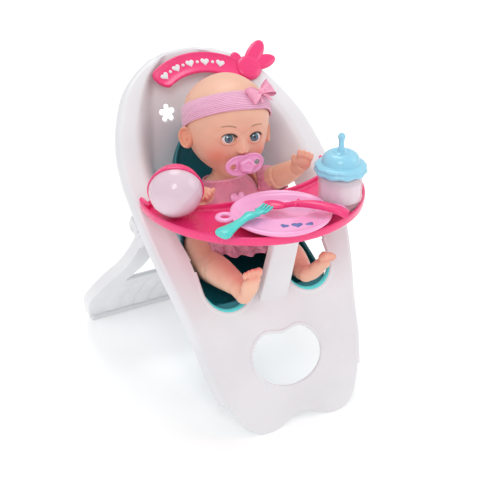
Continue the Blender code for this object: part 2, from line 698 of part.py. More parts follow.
def banner_sign():
    """An arch along the crown that ends in a plain rabbit's head with two ears."""
    outer = np.linspace(BANNER_FROM, BANNER_TO, 11)
    inner_r = BANNER_R - BANNER_WIDTH
    centre_y = -BANNER_DOWN - BANNER_R
    arch = [(BANNER_X + BANNER_R * math.sin(a), centre_y + BANNER_R * math.cos(a)) for a in outer]
    arch += [(BANNER_X + inner_r * math.sin(a), centre_y + inner_r * math.cos(a)) for a in outer[::-1]]
    mesh = slab_mesh(arch, BANNER_T)
    mesh.transform(rim_matrix(BANNER_LIFT + BANNER_T / 2))
    sign = add("banner_sign", mesh, "magenta_plastic")
    ears = (
        ("ear_up", (7.3 * CM, -2.2 * CM), (0.7 * CM, 1.8 * CM), -38),
        ("ear_down", (7.9 * CM, -3.25 * CM), (0.7 * CM, 1.7 * CM), -80),
    )
    shapes = [("rabbit_head", (BUNNY_X, -BUNNY_DOWN), (BUNNY_R, BUNNY_R), 0), *ears]
    for name, (x, y), (half_x, half_y), turn in shapes:
        disc = cylinder_mesh(1.0, BANNER_T * 1.2, sides=16)
        disc.transform(Matrix.Diagonal((half_x, half_y, 1, 1)))
        place = Matrix.Translation((x, y, 0)) @ Matrix.Rotation(math.radians(turn), 4, "Z")
        disc.transform(rim_matrix(BANNER_LIFT + BANNER_T * 0.6) @ place)
        join(sign, disc, f"{name}_joiner")
    return sign


# ---------------------------------------------------------------- tray and what stands on it
def tray_band(inset, count=22):
    """The crescent between the tray's two ellipses, drawn in by the inset on every side."""
    half_x, half_y, centre = TRAY_OUT
    half_x, half_y = half_x - inset, half_y - inset
    end = TRAY_END_Y - inset
    low = math.asin(min(1, (end - centre) / half_y))
    angles = np.linspace(math.pi + low * -1, 2 * math.pi + low, count)
    outline = [(half_x * math.cos(a), centre + half_y * math.sin(a)) for a in angles]
    half_x, half_y, centre = TRAY_IN
    half_x, half_y = half_x + inset, half_y + inset
    low = math.asin((end - centre) / half_y)
    angles = np.linspace(2 * math.pi + low, math.pi - low, count)
    return outline + [(half_x * math.cos(a), centre + half_y * math.sin(a)) for a in angles]


def tray():
    at = (0, 0, TRAY_Z)
    height = TRAY_RIM_H
    mesh = slab_mesh(tray_band(0.0), height)
    mesh.transform(Matrix.Translation((0, 0, height / 2)))
    body = add("tray", mesh, "magenta_plastic", at=at)
    hollow = slab_mesh(tray_band(TRAY_RIM_T), height)
    hollow.transform(Matrix.Translation((0, 0, TRAY_Z + TRAY_FLOOR + height / 2)))
    cut(body, hollow, "tray_hollow_cutter")
    for side in (-1, 1):
        start = TRAY_END_Y - 0.3 * CM
        length = TRAY_PEG_END - start
        centre = (side * TRAY_PEG_X, start + length / 2, TRAY_RIM_H / 2)
        join(body, cylinder_mesh(TRAY_PEG_R, length, centre, "Y", 16), f"tray_peg_{side}")
    return body


def bottle():
    base = TRAY_Z + TRAY_FLOOR + GAP
    at = (BOTTLE_X, BOTTLE_Y, base)
    wall = BOTTLE_WALL
    neck_r = BOTTLE_R - 0.25 * CM
    outside = [
        (neck_r, BOTTLE_H),
        (neck_r, BOTTLE_H - COLLAR_H),
        (BOTTLE_R, BOTTLE_H - COLLAR_H - 0.1 * CM),
        (BOTTLE_R, BOTTLE_BASE_H),
        (BOTTLE_BASE_R, BOTTLE_BASE_H * 0.7),
        (BOTTLE_BASE_R, 0.15 * CM),
        (BOTTLE_BASE_R - 0.15 * CM, 0.0),
        (0.0, 0.0),
    ]
    inside = [
        (0.0, wall),
        (BOTTLE_BASE_R - wall - 0.1 * CM, wall),
        (BOTTLE_BASE_R - wall, 0.3 * CM),
        (BOTTLE_BASE_R - wall, BOTTLE_BASE_H * 0.75),
        (BOTTLE_R - wall, BOTTLE_BASE_H + 0.1 * CM),
        (BOTTLE_R - wall, BOTTLE_H - COLLAR_H - 0.2 * CM),
        (neck_r - wall, BOTTLE_H - COLLAR_H),
        (neck_r - wall, BOTTLE_H),
        (neck_r, BOTTLE_H),
    ]
    turned("bottle_body", outside + inside, "clear_plastic", at)
    bore = neck_r + PLAY
    collar_out = BOTTLE_R + COLLAR_OUT
    low = BOTTLE_H - COLLAR_H + GAP
    top = BOTTLE_H + GAP
    seat_r = TEAT_R + 0.35 * CM
    collar = [
        (CAP_DOME_R * 0.55, top + CAP_DOME_H),
        (CAP_DOME_R * 0.85, top + CAP_DOME_H * 0.8),
        (CAP_DOME_R, top + CAP_DOME_H * 0.35),
        (CAP_DOME_R + 0.05 * CM, top + 0.15 * CM),
        (collar_out - 0.1 * CM, top),
        (collar_out, top - 0.4 * CM),
        (collar_out, low + 0.3 * CM),
        (collar_out - 0.15 * CM, low),
        (bore, low),
        (bore, top),
        (CAP_DOME_R - 0.25 * CM, top + CAP_DOME_H * 0.3),
        (seat_r - 0.1 * CM, top + CAP_DOME_H * 0.8),
        (TEAT_R + PLAY, top + CAP_DOME_H * 0.8),
        (TEAT_R + PLAY, top + CAP_DOME_H),
        (CAP_DOME_R * 0.55, top + CAP_DOME_H),
    ]
    turned("bottle_cap", collar, "sky_blue_plastic", at)
    teat_base = top + CAP_DOME_H * 0.8 - GAP
    teat = [
        (0.0, teat_base + TEAT_H + 0.3 * CM),
        (TEAT_R * 0.7, teat_base + TEAT_H + 0.2 * CM),
        (TEAT_R, teat_base + TEAT_H),
        (TEAT_R * 0.85, teat_base + TEAT_H * 0.6),
        (TEAT_R, teat_base + 0.01 * CM),
        (seat_r - 0.15 * CM, teat_base),
        (seat_r - 0.15 * CM, teat_base - 0.12 * CM),
        (TEAT_R * 0.5, teat_base - 0.12 * CM),
        (TEAT_R * 0.5, teat_base + TEAT_H),
        (0.0, teat_base + TEAT_H),
    ]
    turned("bottle_teat", teat, "sky_blue_plastic", at, steps=16)


def ball():
    """A clear dome and a coloured cup that meet at a flange."""
    rest = TRAY_Z + TRAY_RIM_H + 2.2 * CM
    holder = make_empty(
        "ball_axis", (BALL_X, BALL_Y, rest), (math.radians(90) + BALL_TILT, 0, BALL_TURN), PLAYSET
    )
    angles = np.linspace(0, math.pi / 2, 7)
    inner = BALL_R - BALL_WALL
    for name, finish, sign, lip in (
        ("ball_dome", "clear_plastic", 1, 0.0),
        ("ball_cup", "magenta_plastic", -1, BALL_FLANGE),
    ):
        start = GAP / 2
        outer = [(BALL_R * math.sin(a), start + BALL_R * math.cos(a)) for a in angles]
        flange = [(BALL_R + lip, start + 0.25 * CM), (BALL_R + lip, start)] if lip else []
        if lip:
            outer = outer[:-1]
        hollow = [(inner * math.cos(a), start + inner * math.sin(a)) for a in angles]
        profile = outer + flange + hollow
        if sign < 0:
            profile = [(radius, -height) for radius, height in profile][::-1]
        turned(name, profile + profile[:1] if sign < 0 else profile, finish, (0, 0, 0), holder, 18)


def plate():
    """A round plate: a flat shelf in front, a shallow well behind it, and a ring handle at each side."""
    under = TRAY_Z + TRAY_RIM_H + GAP
    at = (PLATE_X, PLATE_Y, under)
    profile = [
        (0.0, PLATE_DEPTH + PLATE_T),
        (PLATE_R - 0.35 * CM, PLATE_DEPTH + PLATE_T),
        (PLATE_R - 0.08 * CM, PLATE_DEPTH + PLATE_T + 0.08 * CM),
        (PLATE_R, PLATE_DEPTH + PLATE_T),
        (PLATE_R - 0.05 * CM, PLATE_DEPTH),
        (PLATE_R - 0.75 * CM, 0.0),
        (0.0, 0.0),
    ]
    dish = turned("plate", profile, "pale_pink_plastic", at, steps=24)
    dish.rotation_euler = (0, 0, PLATE_TURN)
    well = ellipsoid_mesh((PLATE_R - 0.75 * CM, 2.6 * CM, 0.6 * CM), (0, 1.15 * CM, 0), 20, 8)
    well.transform(Matrix.Translation((0, 0, PLATE_DEPTH + PLATE_T + 0.12 * CM)))
    holder = make_empty("plate_frame", at, (0, 0, PLATE_TURN), PLAYSET)
    cut(dish, well, "plate_well_cutter", holder)
    for side in (-1, 1):
        angles = np.linspace(0, 2 * math.pi, 12, endpoint=False)
        centre = side * (PLATE_R + HANDLE_R * 0.72)
        height = PLATE_DEPTH + 0.05 * CM
        ring = [(centre + HANDLE_R * math.cos(a), HANDLE_R * math.sin(a), height) for a in angles]
        join(dish, tube_mesh(ring, HANDLE_WIRE, 1, closed=True), f"plate_handle_{side}")
    return dish


def cutlery():
    rest = TRAY_Z + TRAY_RIM_H + PLATE_DEPTH + PLATE_T
    fork_start = Vector((-8.1 * CM, 1.3 * CM, rest + 0.05 * CM))
    fork_neck = Vector((-4.7 * CM, 2.35 * CM, rest + 0.66 * CM))
    fork_head = Vector((-3.9 * CM, 2.55 * CM, rest + 0.55 * CM))
    along = (fork_neck - fork_start).normalized()
    handle = [fork_start + along * step * CM for step in (0.0, 0.25, 0.8, 1.6, 2.6)] + [fork_neck, fork_head]
    radii = [0.22 * CM, 0.5 * CM, 0.58 * CM, 0.46 * CM, 0.34 * CM, 0.4 * CM, 0.3 * CM]
    fork = add("fork", shifted(tube_mesh(handle, radii, 1), fork_head), "turquoise_plastic", at=fork_head)
    root = box_mesh((0.38 * CM, 0.5 * CM, 0.11 * CM), (0.3 * CM, 0, 0))
    turn = Matrix.Rotation(math.atan2(along.y, along.x), 4, "Z")
    root.transform(turn)
    join(fork, root, "fork_root")
    for tine in (-1, 0, 1):
        prong = box_mesh((0.5 * CM, 0.1 * CM, 0.1 * CM), (1.1 * CM, tine * 0.38 * CM, 0))
        prong.transform(turn)
        join(fork, prong, f"fork_prong_{tine}")

    bowl_at = Vector((-1.25 * CM, 3.7 * CM, rest - 0.02 * CM))
    tip = Vector((3.3 * CM, -1.25 * CM, rest + 0.28 * CM))
    neck = bowl_at + (tip - bowl_at) * 0.3 + Vector((0, 0, 0.45 * CM))
    route = []
    for t in (0.14, 0.22, 0.3, 0.45, 0.6, 0.75, 0.88, 1.0):
        arch = Vector((0, 0, SPOON_ARCH * math.sin(math.pi * t) ** 0.7))
        route.append(bowl_at + (tip - bowl_at) * t + arch)
    radii = [0.2 * CM, 0.25 * CM, 0.25 * CM, 0.33 * CM, 0.38 * CM, 0.38 * CM, 0.36 * CM, 0.28 * CM]
    spoon = add("spoon", shifted(tube_mesh(route, radii, 1), bowl_at), "magenta_plastic", at=bowl_at)
    heading = Matrix.Rotation(math.atan2(tip.y - bowl_at.y, tip.x - bowl_at.x), 4, "Z")
    open_top = [((0, 0, 0.4 * CM), (0, 0, 1))]
    cup = shell_mesh(SPOON_BOWL, SPOON_WALL, (0, 0, 0.35 * CM), open_top, 14, 6)
    cup.transform(heading)
    join(spoon, cup, "spoon_bowl")
    bow_at = neck - bowl_at + Vector((0, 0, 0.32 * CM))
    bow = ellipsoid_mesh((0.18 * CM, 0.55 * CM, 0.28 * CM), bow_at, 12, 8)
    join(spoon, bow, "spoon_bow")


# ---------------------------------------------------------------- doll
def torso_radii(extra):
    return tuple(radius + extra for radius in TORSO)


def torso_shells():
    centre = (0, 0, TORSO_Z)
    back_y = SEAM / 2
    front = add(
        "torso_front",
        shell_mesh(TORSO, TORSO_WALL, centre, [((0, -back_y, 0), (0, 1, 0))]),
        "skin_vinyl",
        DOLL,
    )
    back = add(
        "torso_back",
        shell_mesh(TORSO, TORSO_WALL, centre, [((0, back_y, 0), (0, -1, 0))]),
        "skin_vinyl",
        DOLL,
    )
    for shell in (front, back):
        for name, (_, y, z) in (("shoulder", SHOULDER), ("hip", HIP)):
            bore = cylinder_mesh(PEG_R + PLAY, 16 * CM, (0, y, z), "X", 16)
            cut(shell, bore, f"{shell.name}_{name}_cutter")
        cut(
            shell,
            cylinder_mesh(NECK_R + PLAY, 4 * CM, (0, NECK_Y, TORSO_Z + TORSO[2]), "Z", 24),
            f"{shell.name}_neck_cutter",
        )
    cut(front, cylinder_mesh(BUTTON_R + PLAY, 4 * CM, (0, -3 * CM, BUTTON_Z), "Y", 20), "button_cutter")
    half_x, half_z = DOOR
    at = (0, 3 * CM, MODULE_AT[2])
    cut(back, box_mesh((half_x, 2 * CM, half_z), at), "door_cutter")
    door = add(
        "battery_door",
        shell_mesh(TORSO, TORSO_WALL, centre, [((0, 0.1 * CM, 0), (0, -1, 0))]),
        "skin_vinyl",
        DOLL,
    )
    keeper = add("door_keeper", box_mesh((half_x - GAP, 2 * CM, half_z - GAP), at), None, DOLL)
    combine(door, keeper, "INTERSECT")
    door_screw_z = MODULE_AT[2] - half_z + 0.45 * CM
    screw_y = TORSO[1] - SCREW_HEAD_T - GAP
    bore = cylinder_mesh(SCREW_R + PLAY, 4 * CM, (0, 3 * CM, door_screw_z), "Y", 12)
    cut(door, bore, "door_screw_cutter", DOLL)
    recess_at = (0, screw_y - GAP + 0.5 * CM, door_screw_z)
    recess = cylinder_mesh(SCREW_HEAD_R * 0.8 + PLAY, 1 * CM, recess_at, "Y", 14)
    cut(door, recess, "door_recess_cutter", DOLL)
    screw = add(
        "door_screw",
        cylinder_mesh(SCREW_HEAD_R * 0.8, SCREW_HEAD_T, (0, SCREW_HEAD_T / 2, 0), "Y", 14),
        "steel",
        DOLL,
        (0, screw_y, door_screw_z),
    )
    join(screw, cylinder_mesh(SCREW_R, 0.6 * CM, (0, -0.25 * CM, 0), "Y", 12), "door_screw_shaft")


def voice_module():
    x, y, z = MODULE_AT
    half_x, half_y, half_z = MODULE
    case = add("module_case", box_mesh(MODULE, MODULE_AT), "black_plastic", DOLL)
    hollow = box_mesh(
        (half_x - MODULE_WALL, half_y, half_z - MODULE_WALL), (x, y + MODULE_WALL, z)
    )
    cut(case, hollow, "module_hollow_cutter")
    cell_y = y + 0.1 * CM
    pitch = CELL_T + GAP * 2
    for index, name in enumerate(("button_cell_a", "button_cell_b", "button_cell_c")):
        centre = ((index - 1) * pitch, cell_y, z)
        add(name, cylinder_mesh(CELL_R, CELL_T, centre, "X", 20), "steel", DOLL)
    front_y = y - half_y - GAP
    speaker_z = z - half_z + SPEAKER_R
    centre = (0, front_y - SPEAKER_T / 2, speaker_z)
    cone = cylinder_mesh(SPEAKER_R, SPEAKER_T, centre, "Y", 24, SPEAKER_R * 0.8)
    add("speaker", cone, "black_plastic", DOLL)
    half_board, thick, half_tall = BOARD
    board_y = front_y - 0.3 * CM
    board = add(
        "circuit_board",
        box_mesh((half_board, thick / 2, half_tall), (0, board_y, BUTTON_Z)),
        "board_laminate",
        DOLL,
    )
    switch = box_mesh((SWITCH, SWITCH_DEPTH, SWITCH), (0, board_y - thick, BUTTON_Z))
    join(board, switch, "switch_joiner")
    edge_z = BUTTON_Z + BUTTON_R - TORSO_Z
    button_top = -TORSO[1] * math.sqrt(1 - (edge_z / TORSO[2]) ** 2) + 0.03 * CM
    button_back = board_y - thick - SWITCH_DEPTH - BUTTON_STROKE
    length = button_back - button_top
    button = add(
        "tummy_button",
        cylinder_mesh(BUTTON_R, length, (0, length / 2, 0), "Y", 20),
        "pale_pink_plastic",
        DOLL,
        (0, button_top, BUTTON_Z),
    )
    button.rotation_euler = (0, 0, 0)


def limb(name, points, radii, pivot, side, lumps):
    """An arm or a leg: a bent bar with its hand or foot, and a flanged peg that turns in the body."""
    body = add(name, shifted(tube_mesh(points, radii), pivot), "skin_vinyl", DOLL, pivot)
    for index, (centre, size, turn) in enumerate(lumps):
        lump = ellipsoid_mesh(size, (0, 0, 0), 10, 7)
        lump.transform(Matrix.Translation(centre) @ turn)
        join(body, shifted(lump, pivot), f"{name}_lump_{index}")
    start = points[0][0]
    inner = side * (abs(pivot[0]) - 1.15 * CM)
    centre = (start + inner) / 2
    length = abs(start - inner) + 0.6 * CM
    peg = cylinder_mesh(PEG_R, length, (centre + side * 0.3 * CM - pivot[0], 0, 0), "X", 16)
    join(body, peg, f"{name}_peg")
    flange = cylinder_mesh(PEG_FLANGE_R, PEG_FLANGE_T, (inner - pivot[0], 0, 0), "X", 16)
    join(body, flange, f"{name}_flange")
    return body


def doll_point(x, y, z):
    """A place in the chair's frame, in centimetres, seen from the doll's own frame."""
    back = Matrix.Rotation(-RECLINE, 4, "X") @ Matrix.Translation((0, -HIP_Y, -HIP_Z))
    return tuple(back @ Vector((x * CM, y * CM, z * CM)))


def toward(direction):
    """The turn that takes Z to a direction of the chair's frame, in the doll's frame."""
    local = Matrix.Rotation(-RECLINE, 3, "X") @ Vector(direction).normalized()
    return local.to_track_quat("Z", "Y").to_matrix().to_4x4()


def limbs():
    shoulder_y, shoulder_z = SHOULDER[1], SHOULDER[2]
    hip_y, hip_z = HIP[1], HIP[2]
    arm_start = 3.72 * CM
    arms = {
        "arm_left": (
            1,
            [doll_point(5.2, 13.2, 19.7), doll_point(5.75, 11.6, 20.9)],
            [(doll_point(5.9, 10.5, 21.9), (0.85 * CM, 0.75 * CM, 1.15 * CM), toward((0.1, -0.6, 0.8)))],
        ),
        "arm_right": (
            -1,
            [doll_point(-5.0, 12.6, 19.8), doll_point(-4.85, 10.6, 21.0)],
            [(doll_point(-4.7, 9.2, 21.75), (0.85 * CM, 0.68 * CM, 1.1 * CM), toward((0.1, -0.9, 0.4)))],
        ),
    }
    for name, (side, route, lumps) in arms.items():
        start = (side * arm_start, shoulder_y, shoulder_z)
        after = (side * (arm_start + 0.55 * CM), shoulder_y - 0.15 * CM, shoulder_z - 0.25 * CM)
        radii = [0.8 * CM, 1.1 * CM, 1.1 * CM, 0.75 * CM, 0.6 * CM]
        route = [*route, lumps[0][0]]
        route = [start, after, *route]
        limb(name, route, radii, (side * SHOULDER[0], shoulder_y, shoulder_z), side, lumps)
        ARM_ROOM[side] = tube_mesh(route, [radius + CLOTH_EASE for radius in radii])
    leg_start = 4.15 * CM
    legs = {
        "leg_left": (
            1,
            [doll_point(3.9, 11.4, 12.9), doll_point(4.0, 9.2, 12.75), doll_point(3.8, 7.0, 12.5)],
            [
                (doll_point(3.75, 6.0, 12.55), (1.1 * CM, 1.0 * CM, 1.1 * CM), toward((0, 0, 1))),
                (doll_point(4.5, 5.3, 13.0), (0.95 * CM, 0.85 * CM, 2.1 * CM), toward((2.1, -1.5, 3.4))),
            ],
        ),
        "leg_right": (
            -1,
            [doll_point(-4.1, 11.3, 13.1), doll_point(-4.4, 8.4, 13.6), doll_point(-4.35, 5.4, 13.7)],
            [
                (doll_point(-4.2, 4.3, 13.2), (1.1 * CM, 1.0 * CM, 1.1 * CM), toward((0, 0, 1))),
                (doll_point(-4.1, 3.2, 14.4), (0.95 * CM, 0.85 * CM, 2.1 * CM), toward((0, -1.5, 4.2))),
            ],
        ),
    }
    for name, (side, route, lumps) in legs.items():
        start = (side * leg_start, hip_y, hip_z)
        after = (side * leg_start, hip_y - 0.7 * CM, hip_z - 0.1 * CM)
        route = [*route, lumps[0][0]]
        radii = [0.95 * CM, 1.45 * CM, 1.5 * CM, 1.4 * CM, 1.1 * CM, 0.8 * CM]
        limb(name, [start, after, *route], radii, (side * HIP[0], hip_y, hip_z), side, lumps)


def neck_plug():
    low, high = NECK_LOW, NECK_HIGH
    body = add(
        "neck_plug",
        cylinder_mesh(NECK_R, high - low, (0, NECK_Y, (low + high) / 2), "Z", 24),
        "white_plastic",
        DOLL,
    )
    for name, z in (("low", low), ("high", high)):
        flange = cylinder_mesh(NECK_FLANGE_R, NECK_FLANGE_T, (0, NECK_Y, z), "Z", 24)
        join(body, flange, f"neck_flange_{name}")
    bore = cylinder_mesh(NECK_R * 0.6, 6 * CM, (0, NECK_Y, (low + high) / 2), "Z", 20)
    cut(body, bore, "neck_bore_cutter")


def head():
    """A hollow vinyl head with ears, open at the neck, and with a socket for each eye."""
    shell = add("head", ellipsoid_mesh(HEAD, (0, 0, 0), 20, 14), "skin_vinyl", HEAD_FRAME)
    for side in (-1, 1):
        ear_at = (side * HEAD[0], HEAD_EAR_Y, HEAD_EAR_Z)
        join(shell, ellipsoid_mesh(HEAD_EAR, ear_at, 10, 6), f"ear_{side}")
    join(shell, ellipsoid_mesh((1.7 * CM, 1.0 * CM, 1.1 * CM), (0, -3.0 * CM, -3.2 * CM), 12, 8), "jaw")
    join(shell, ellipsoid_mesh((0.42 * CM, 0.4 * CM, 0.35 * CM), (0, -4.05 * CM, NOSE_Z), 8, 6), "nose")
    inner = ellipsoid_mesh(tuple(radius - HEAD_WALL for radius in HEAD), (0, 0, 0), 16, 10)
    cut(shell, inner, "head_hollow_cutter")
    neck = cylinder_mesh(NECK_R + PLAY, 4 * CM, (0, NECK_Y, HEAD_AT[2] - HEAD[2]), "Z", 24)
    cut(shell, neck, "head_neck_cutter", DOLL)
    shelf = math.sqrt(1 - (EYE_X / HEAD[0]) ** 2 - (EYE_Z / HEAD[2]) ** 2)
    eye_y = -HEAD[1] * shelf + EYE_R * 0.55
    for name, side in (("eye_right", -1), ("eye_left", 1)):
        at = (side * EYE_X, eye_y, EYE_Z)
        socket = ellipsoid_mesh((EYE_R + PLAY,) * 3, at, 12, 8)
        cut(shell, socket, f"{name}_socket_cutter")
        add(name, ellipsoid_mesh((EYE_R,) * 3, (0, 0, 0), 12, 8), "eye_plastic", HEAD_FRAME, at)
    mouth = cylinder_mesh(0.34 * CM + PLAY, 1.8 * CM, (0, -3.7 * CM, MOUTH_Z), "Y", 16)
    cut(shell, mouth, "mouth_cutter")


def soother():
    """A soother: a winged shield, a knob in front of it and a short teat in the mouth."""
    at = (0, -4.42 * CM, MOUTH_Z)
    wing = np.linspace(0, 2 * math.pi, 28, endpoint=False)
    reach = [(1.0 + 0.55 * abs(math.cos(a)) ** 1.5) for a in wing]
    outline = [(1.25 * CM * r * math.cos(a), 0.95 * CM * r * math.sin(a)) for a, r in zip(wing, reach)]
    mesh = slab_mesh(outline, 0.25 * CM)
    mesh.transform(AXIS_TURN["Y"])
    shield = add("soother_shield", mesh, "pale_pink_plastic", HEAD_FRAME, at)
    for side in (-1, 1):
        vent = cylinder_mesh(0.28 * CM, 2 * CM, (side * 1.2 * CM, at[1], at[2]), "Y", 14)
        cut(shield, vent, f"soother_vent_{side}")
    join(shield, cylinder_mesh(0.3 * CM, 1.1 * CM, (0, 0.6 * CM, 0), "Y", 14), "soother_teat")
    knob_y = at[1] - 0.125 * CM - GAP - 0.3 * CM
    knob = cylinder_mesh(0.72 * CM, 0.6 * CM, (0, 0, 0), "Y", 20, 0.55 * CM)
    add("soother_knob", knob, "pale_pink_plastic", HEAD_FRAME, (0, knob_y, at[2]))


def headband():
    """A knitted band round the head, higher in front than behind, and a bow at the doll's left temple."""
    slope = math.radians(-23)
    middle = Vector((0, 0, 1.35 * CM))
    normal = Matrix.Rotation(slope, 3, "X") @ Vector((0, 0, 1))
    half = 0.95 * CM
    radii = tuple(radius + CLOTH_EASE + CLOTH for radius in HEAD)
    cuts = [(middle + normal * half, normal), (middle - normal * half, -normal)]
    add("headband", shell_mesh(radii, CLOTH, (0, 0, 0), cuts, 20, 14), "knit", HEAD_FRAME)
    at = Vector((2.02 * CM, -3.07 * CM, 3.5 * CM))
    knot = ellipsoid_mesh((0.35 * CM, 0.35 * CM, 0.4 * CM), (0, 0, 0), 8, 6)
    bow = add("bow", knot, "satin", HEAD_FRAME, at)
    out = Vector((0.42, -0.62, 0.66)).normalized()
    across = Vector((0.8, 0.55, 0.1)).normalized()
    for side in (-1, 1):
        loop = ellipsoid_mesh((0.95 * CM, 0.3 * CM, 0.65 * CM), (0, 0, 0), 12, 6)
        place = Matrix.Translation(out * 0.25 * CM + across * side * 0.8 * CM)
        loop.transform(place @ Matrix.Rotation(math.atan2(across.y, across.x), 4, "Z"))
        join(bow, loop, f"bow_loop_{side}")


def clothes():
    centre = (0, 0, TORSO_Z)
    extra = CLOTH_EASE + CLOTH
    top_z, waist_z = 6.9 * CM, 2.05 * CM
    cuts = [((0, 0, top_z), (0, 0, 1)), ((0, 0, waist_z), (0, 0, -1))]
    bodice = add("bodice", shell_mesh(torso_radii(extra), CLOTH, centre, cuts), "satin", DOLL)
    cut(bodice, cylinder_mesh(1.35 * CM, 16 * CM, (0, SHOULDER[1], SHOULDER[2]), "X", 20), "armhole_cutter")
    cuts = [((0, 0, waist_z - GAP), (0, 0, 1))]
    briefs = add("briefs", shell_mesh(torso_radii(extra), CLOTH, centre, cuts), "satin", DOLL)
    for side in (-1, 1):
        leg = cylinder_mesh(1.8 * CM, 6 * CM, (side * 4.2 * CM, HIP[1] - 0.3 * CM, HIP[2]), "X", 20)
        cut(briefs, leg, f"leg_cutter_{side}")
    for name, side in (("sleeve_right", -1), ("sleeve_left", 1)):
        pivot = (side * SHOULDER[0], SHOULDER[1], SHOULDER[2])
        spread = 1.52 * CM
        at = Vector((side * 4.3 * CM, SHOULDER[1] - 0.3 * CM, SHOULDER[2] - 0.25 * CM))
        sleeve = shell_mesh(
            (1.1 * CM, spread, spread),
            CLOTH,
            tuple(at),
            [
                ((side * 4.05 * CM, 0, 0), (-side, 0, 0)),
                ((0, at.y - 0.75 * CM, 0), (0, -1, 0)),
            ],
            14,
            8,
        )
        obj = add(name, shifted(sleeve, pivot), "satin", DOLL, pivot)
        cut(obj, ARM_ROOM[side], f"{name}_arm_cutter")
    angles = np.linspace(0, 2 * math.pi, 31)
    rings = []
    for share in (0.0, 0.3, 0.65, 1.0):
        front = 0.5 * (1 - np.sin(angles))  # 1 at the front, 0 behind
        wave = 1 + 0.03 * share * np.sin(10 * angles)
        half_x = (TORSO[0] + extra + 0.1 * CM + (0.3 + 1.4 * front) * CM * share) * wave
        half_y = (TORSO[1] + extra + 0.1 * CM + (0.3 + 3.0 * front**2) * CM * share) * wave
        drop = (1.5 - 1.2 * front) * CM * share**1.4
        z = 2.85 * CM - drop
        rings.append(np.stack([half_x * np.cos(angles), half_y * np.sin(angles), z], axis=1))
    add("skirt", solid_from_sheet(grid_mesh((np.array(rings), None)), CLOTH), "tulle", DOLL)


ARM_ROOM = {}  # for each side, the space that the arm needs in its sleeve

clear_scene()
PARTS = make_collection("doll_in_high_chair")
CUTTERS = make_collection("cutters")
MATERIALS = {name: make_material(name) for name in FINISHES}
PLAYSET = make_empty("playset", (0, -FRONT_TO_ORIGIN, 0))
DOLL = make_empty("doll_hips", (0, HIP_Y, HIP_Z), (RECLINE, 0, 0), PLAYSET)
HEAD_FRAME = make_empty("head_middle", HEAD_AT, HEAD_TURN, DOLL)

chair_frame()
rear_leg()
hinge_pins()
seat_bucket()
seat_screws()
banner_sign()
tray()
bottle()
ball()
plate()
cutlery()
torso_shells()
voice_module()
limbs()
neck_plug()
head()
soother()
headband()
clothes()
bpy.context.view_layer.update()
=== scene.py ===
"""A baby doll in its folding high chair, dressed and at play: the fine surfaces and finishes of every piece.

Shapes are worked out in centimetres in the frame of the piece's maker (chair, doll or head) and placed in metres.
The chair's frame has its origin between the front feet, the doll's at its hips and the head's at its middle.
"""

import math

import bmesh
import bpy
import numpy as np
from mathutils import Matrix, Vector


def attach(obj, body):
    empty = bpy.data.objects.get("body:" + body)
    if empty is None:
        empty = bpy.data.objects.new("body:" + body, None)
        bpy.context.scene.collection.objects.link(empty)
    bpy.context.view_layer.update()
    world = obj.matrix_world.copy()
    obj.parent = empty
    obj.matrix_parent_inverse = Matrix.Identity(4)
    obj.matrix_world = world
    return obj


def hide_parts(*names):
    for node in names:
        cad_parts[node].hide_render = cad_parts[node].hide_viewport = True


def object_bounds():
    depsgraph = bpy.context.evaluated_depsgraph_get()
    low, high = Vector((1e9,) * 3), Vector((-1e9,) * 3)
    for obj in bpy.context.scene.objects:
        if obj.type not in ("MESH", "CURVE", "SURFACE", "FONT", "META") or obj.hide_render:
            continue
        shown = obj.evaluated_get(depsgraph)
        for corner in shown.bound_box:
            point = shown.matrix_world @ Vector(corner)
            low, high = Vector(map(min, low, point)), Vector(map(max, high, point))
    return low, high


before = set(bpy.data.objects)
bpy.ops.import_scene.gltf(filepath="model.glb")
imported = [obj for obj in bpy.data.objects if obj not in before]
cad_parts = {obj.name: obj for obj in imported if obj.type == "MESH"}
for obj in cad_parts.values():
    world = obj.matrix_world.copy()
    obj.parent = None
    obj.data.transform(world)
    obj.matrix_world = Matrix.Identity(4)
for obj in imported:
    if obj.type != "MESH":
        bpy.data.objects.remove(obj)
CAD_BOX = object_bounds()

CM = 0.01
FRONT_TO_ORIGIN = 13.65  # front feet to the middle of the footprint
HIPS = (0.0, 14.2, 13.2)
RECLINE = -12
HEAD_AT = (0.0, -1.9, 12.6)
HEAD_TURN = (4, 6, -7)  # degrees about X, then Y, then Z
TAU = 2 * math.pi
SIDES = ((-1, "right"), (1, "left"))  # of the doll and the chair, along X


# ---------------------------------------------------------------- places
def turn(axis, degrees):
    """A rotation matrix about a named axis."""
    c, s = math.cos(math.radians(degrees)), math.sin(math.radians(degrees))
    return {
        "X": np.array([[1, 0, 0], [0, c, -s], [0, s, c]]),
        "Y": np.array([[c, 0, s], [0, 1, 0], [-s, 0, c]]),
        "Z": np.array([[c, -s, 0], [s, c, 0], [0, 0, 1]]),
    }[axis]


def chair(points):
    """Chair frame in centimetres to metres in the object's frame."""
    return (np.asarray(points, float) - (0, FRONT_TO_ORIGIN, 0)) * CM


def leaned(points):
    """Doll frame to the chair's frame: leaned back about the hips."""
    return np.asarray(points, float) @ turn("X", RECLINE).T + HIPS


def doll(points):
    """Doll frame to the object's frame."""
    return chair(leaned(points))


HEAD_MATRIX = turn("Z", HEAD_TURN[2]) @ turn("Y", HEAD_TURN[1]) @ turn("X", HEAD_TURN[0])


def head_place(points):
    """Head frame to the object's frame: nodded, tilted and turned on the neck."""
    return doll(np.asarray(points, float) @ HEAD_MATRIX.T + HEAD_AT)


def in_chair(mesh):
    """The mesh's vertices seen from the chair's frame, in centimetres."""
    return places(mesh) / CM + (0, FRONT_TO_ORIGIN, 0)


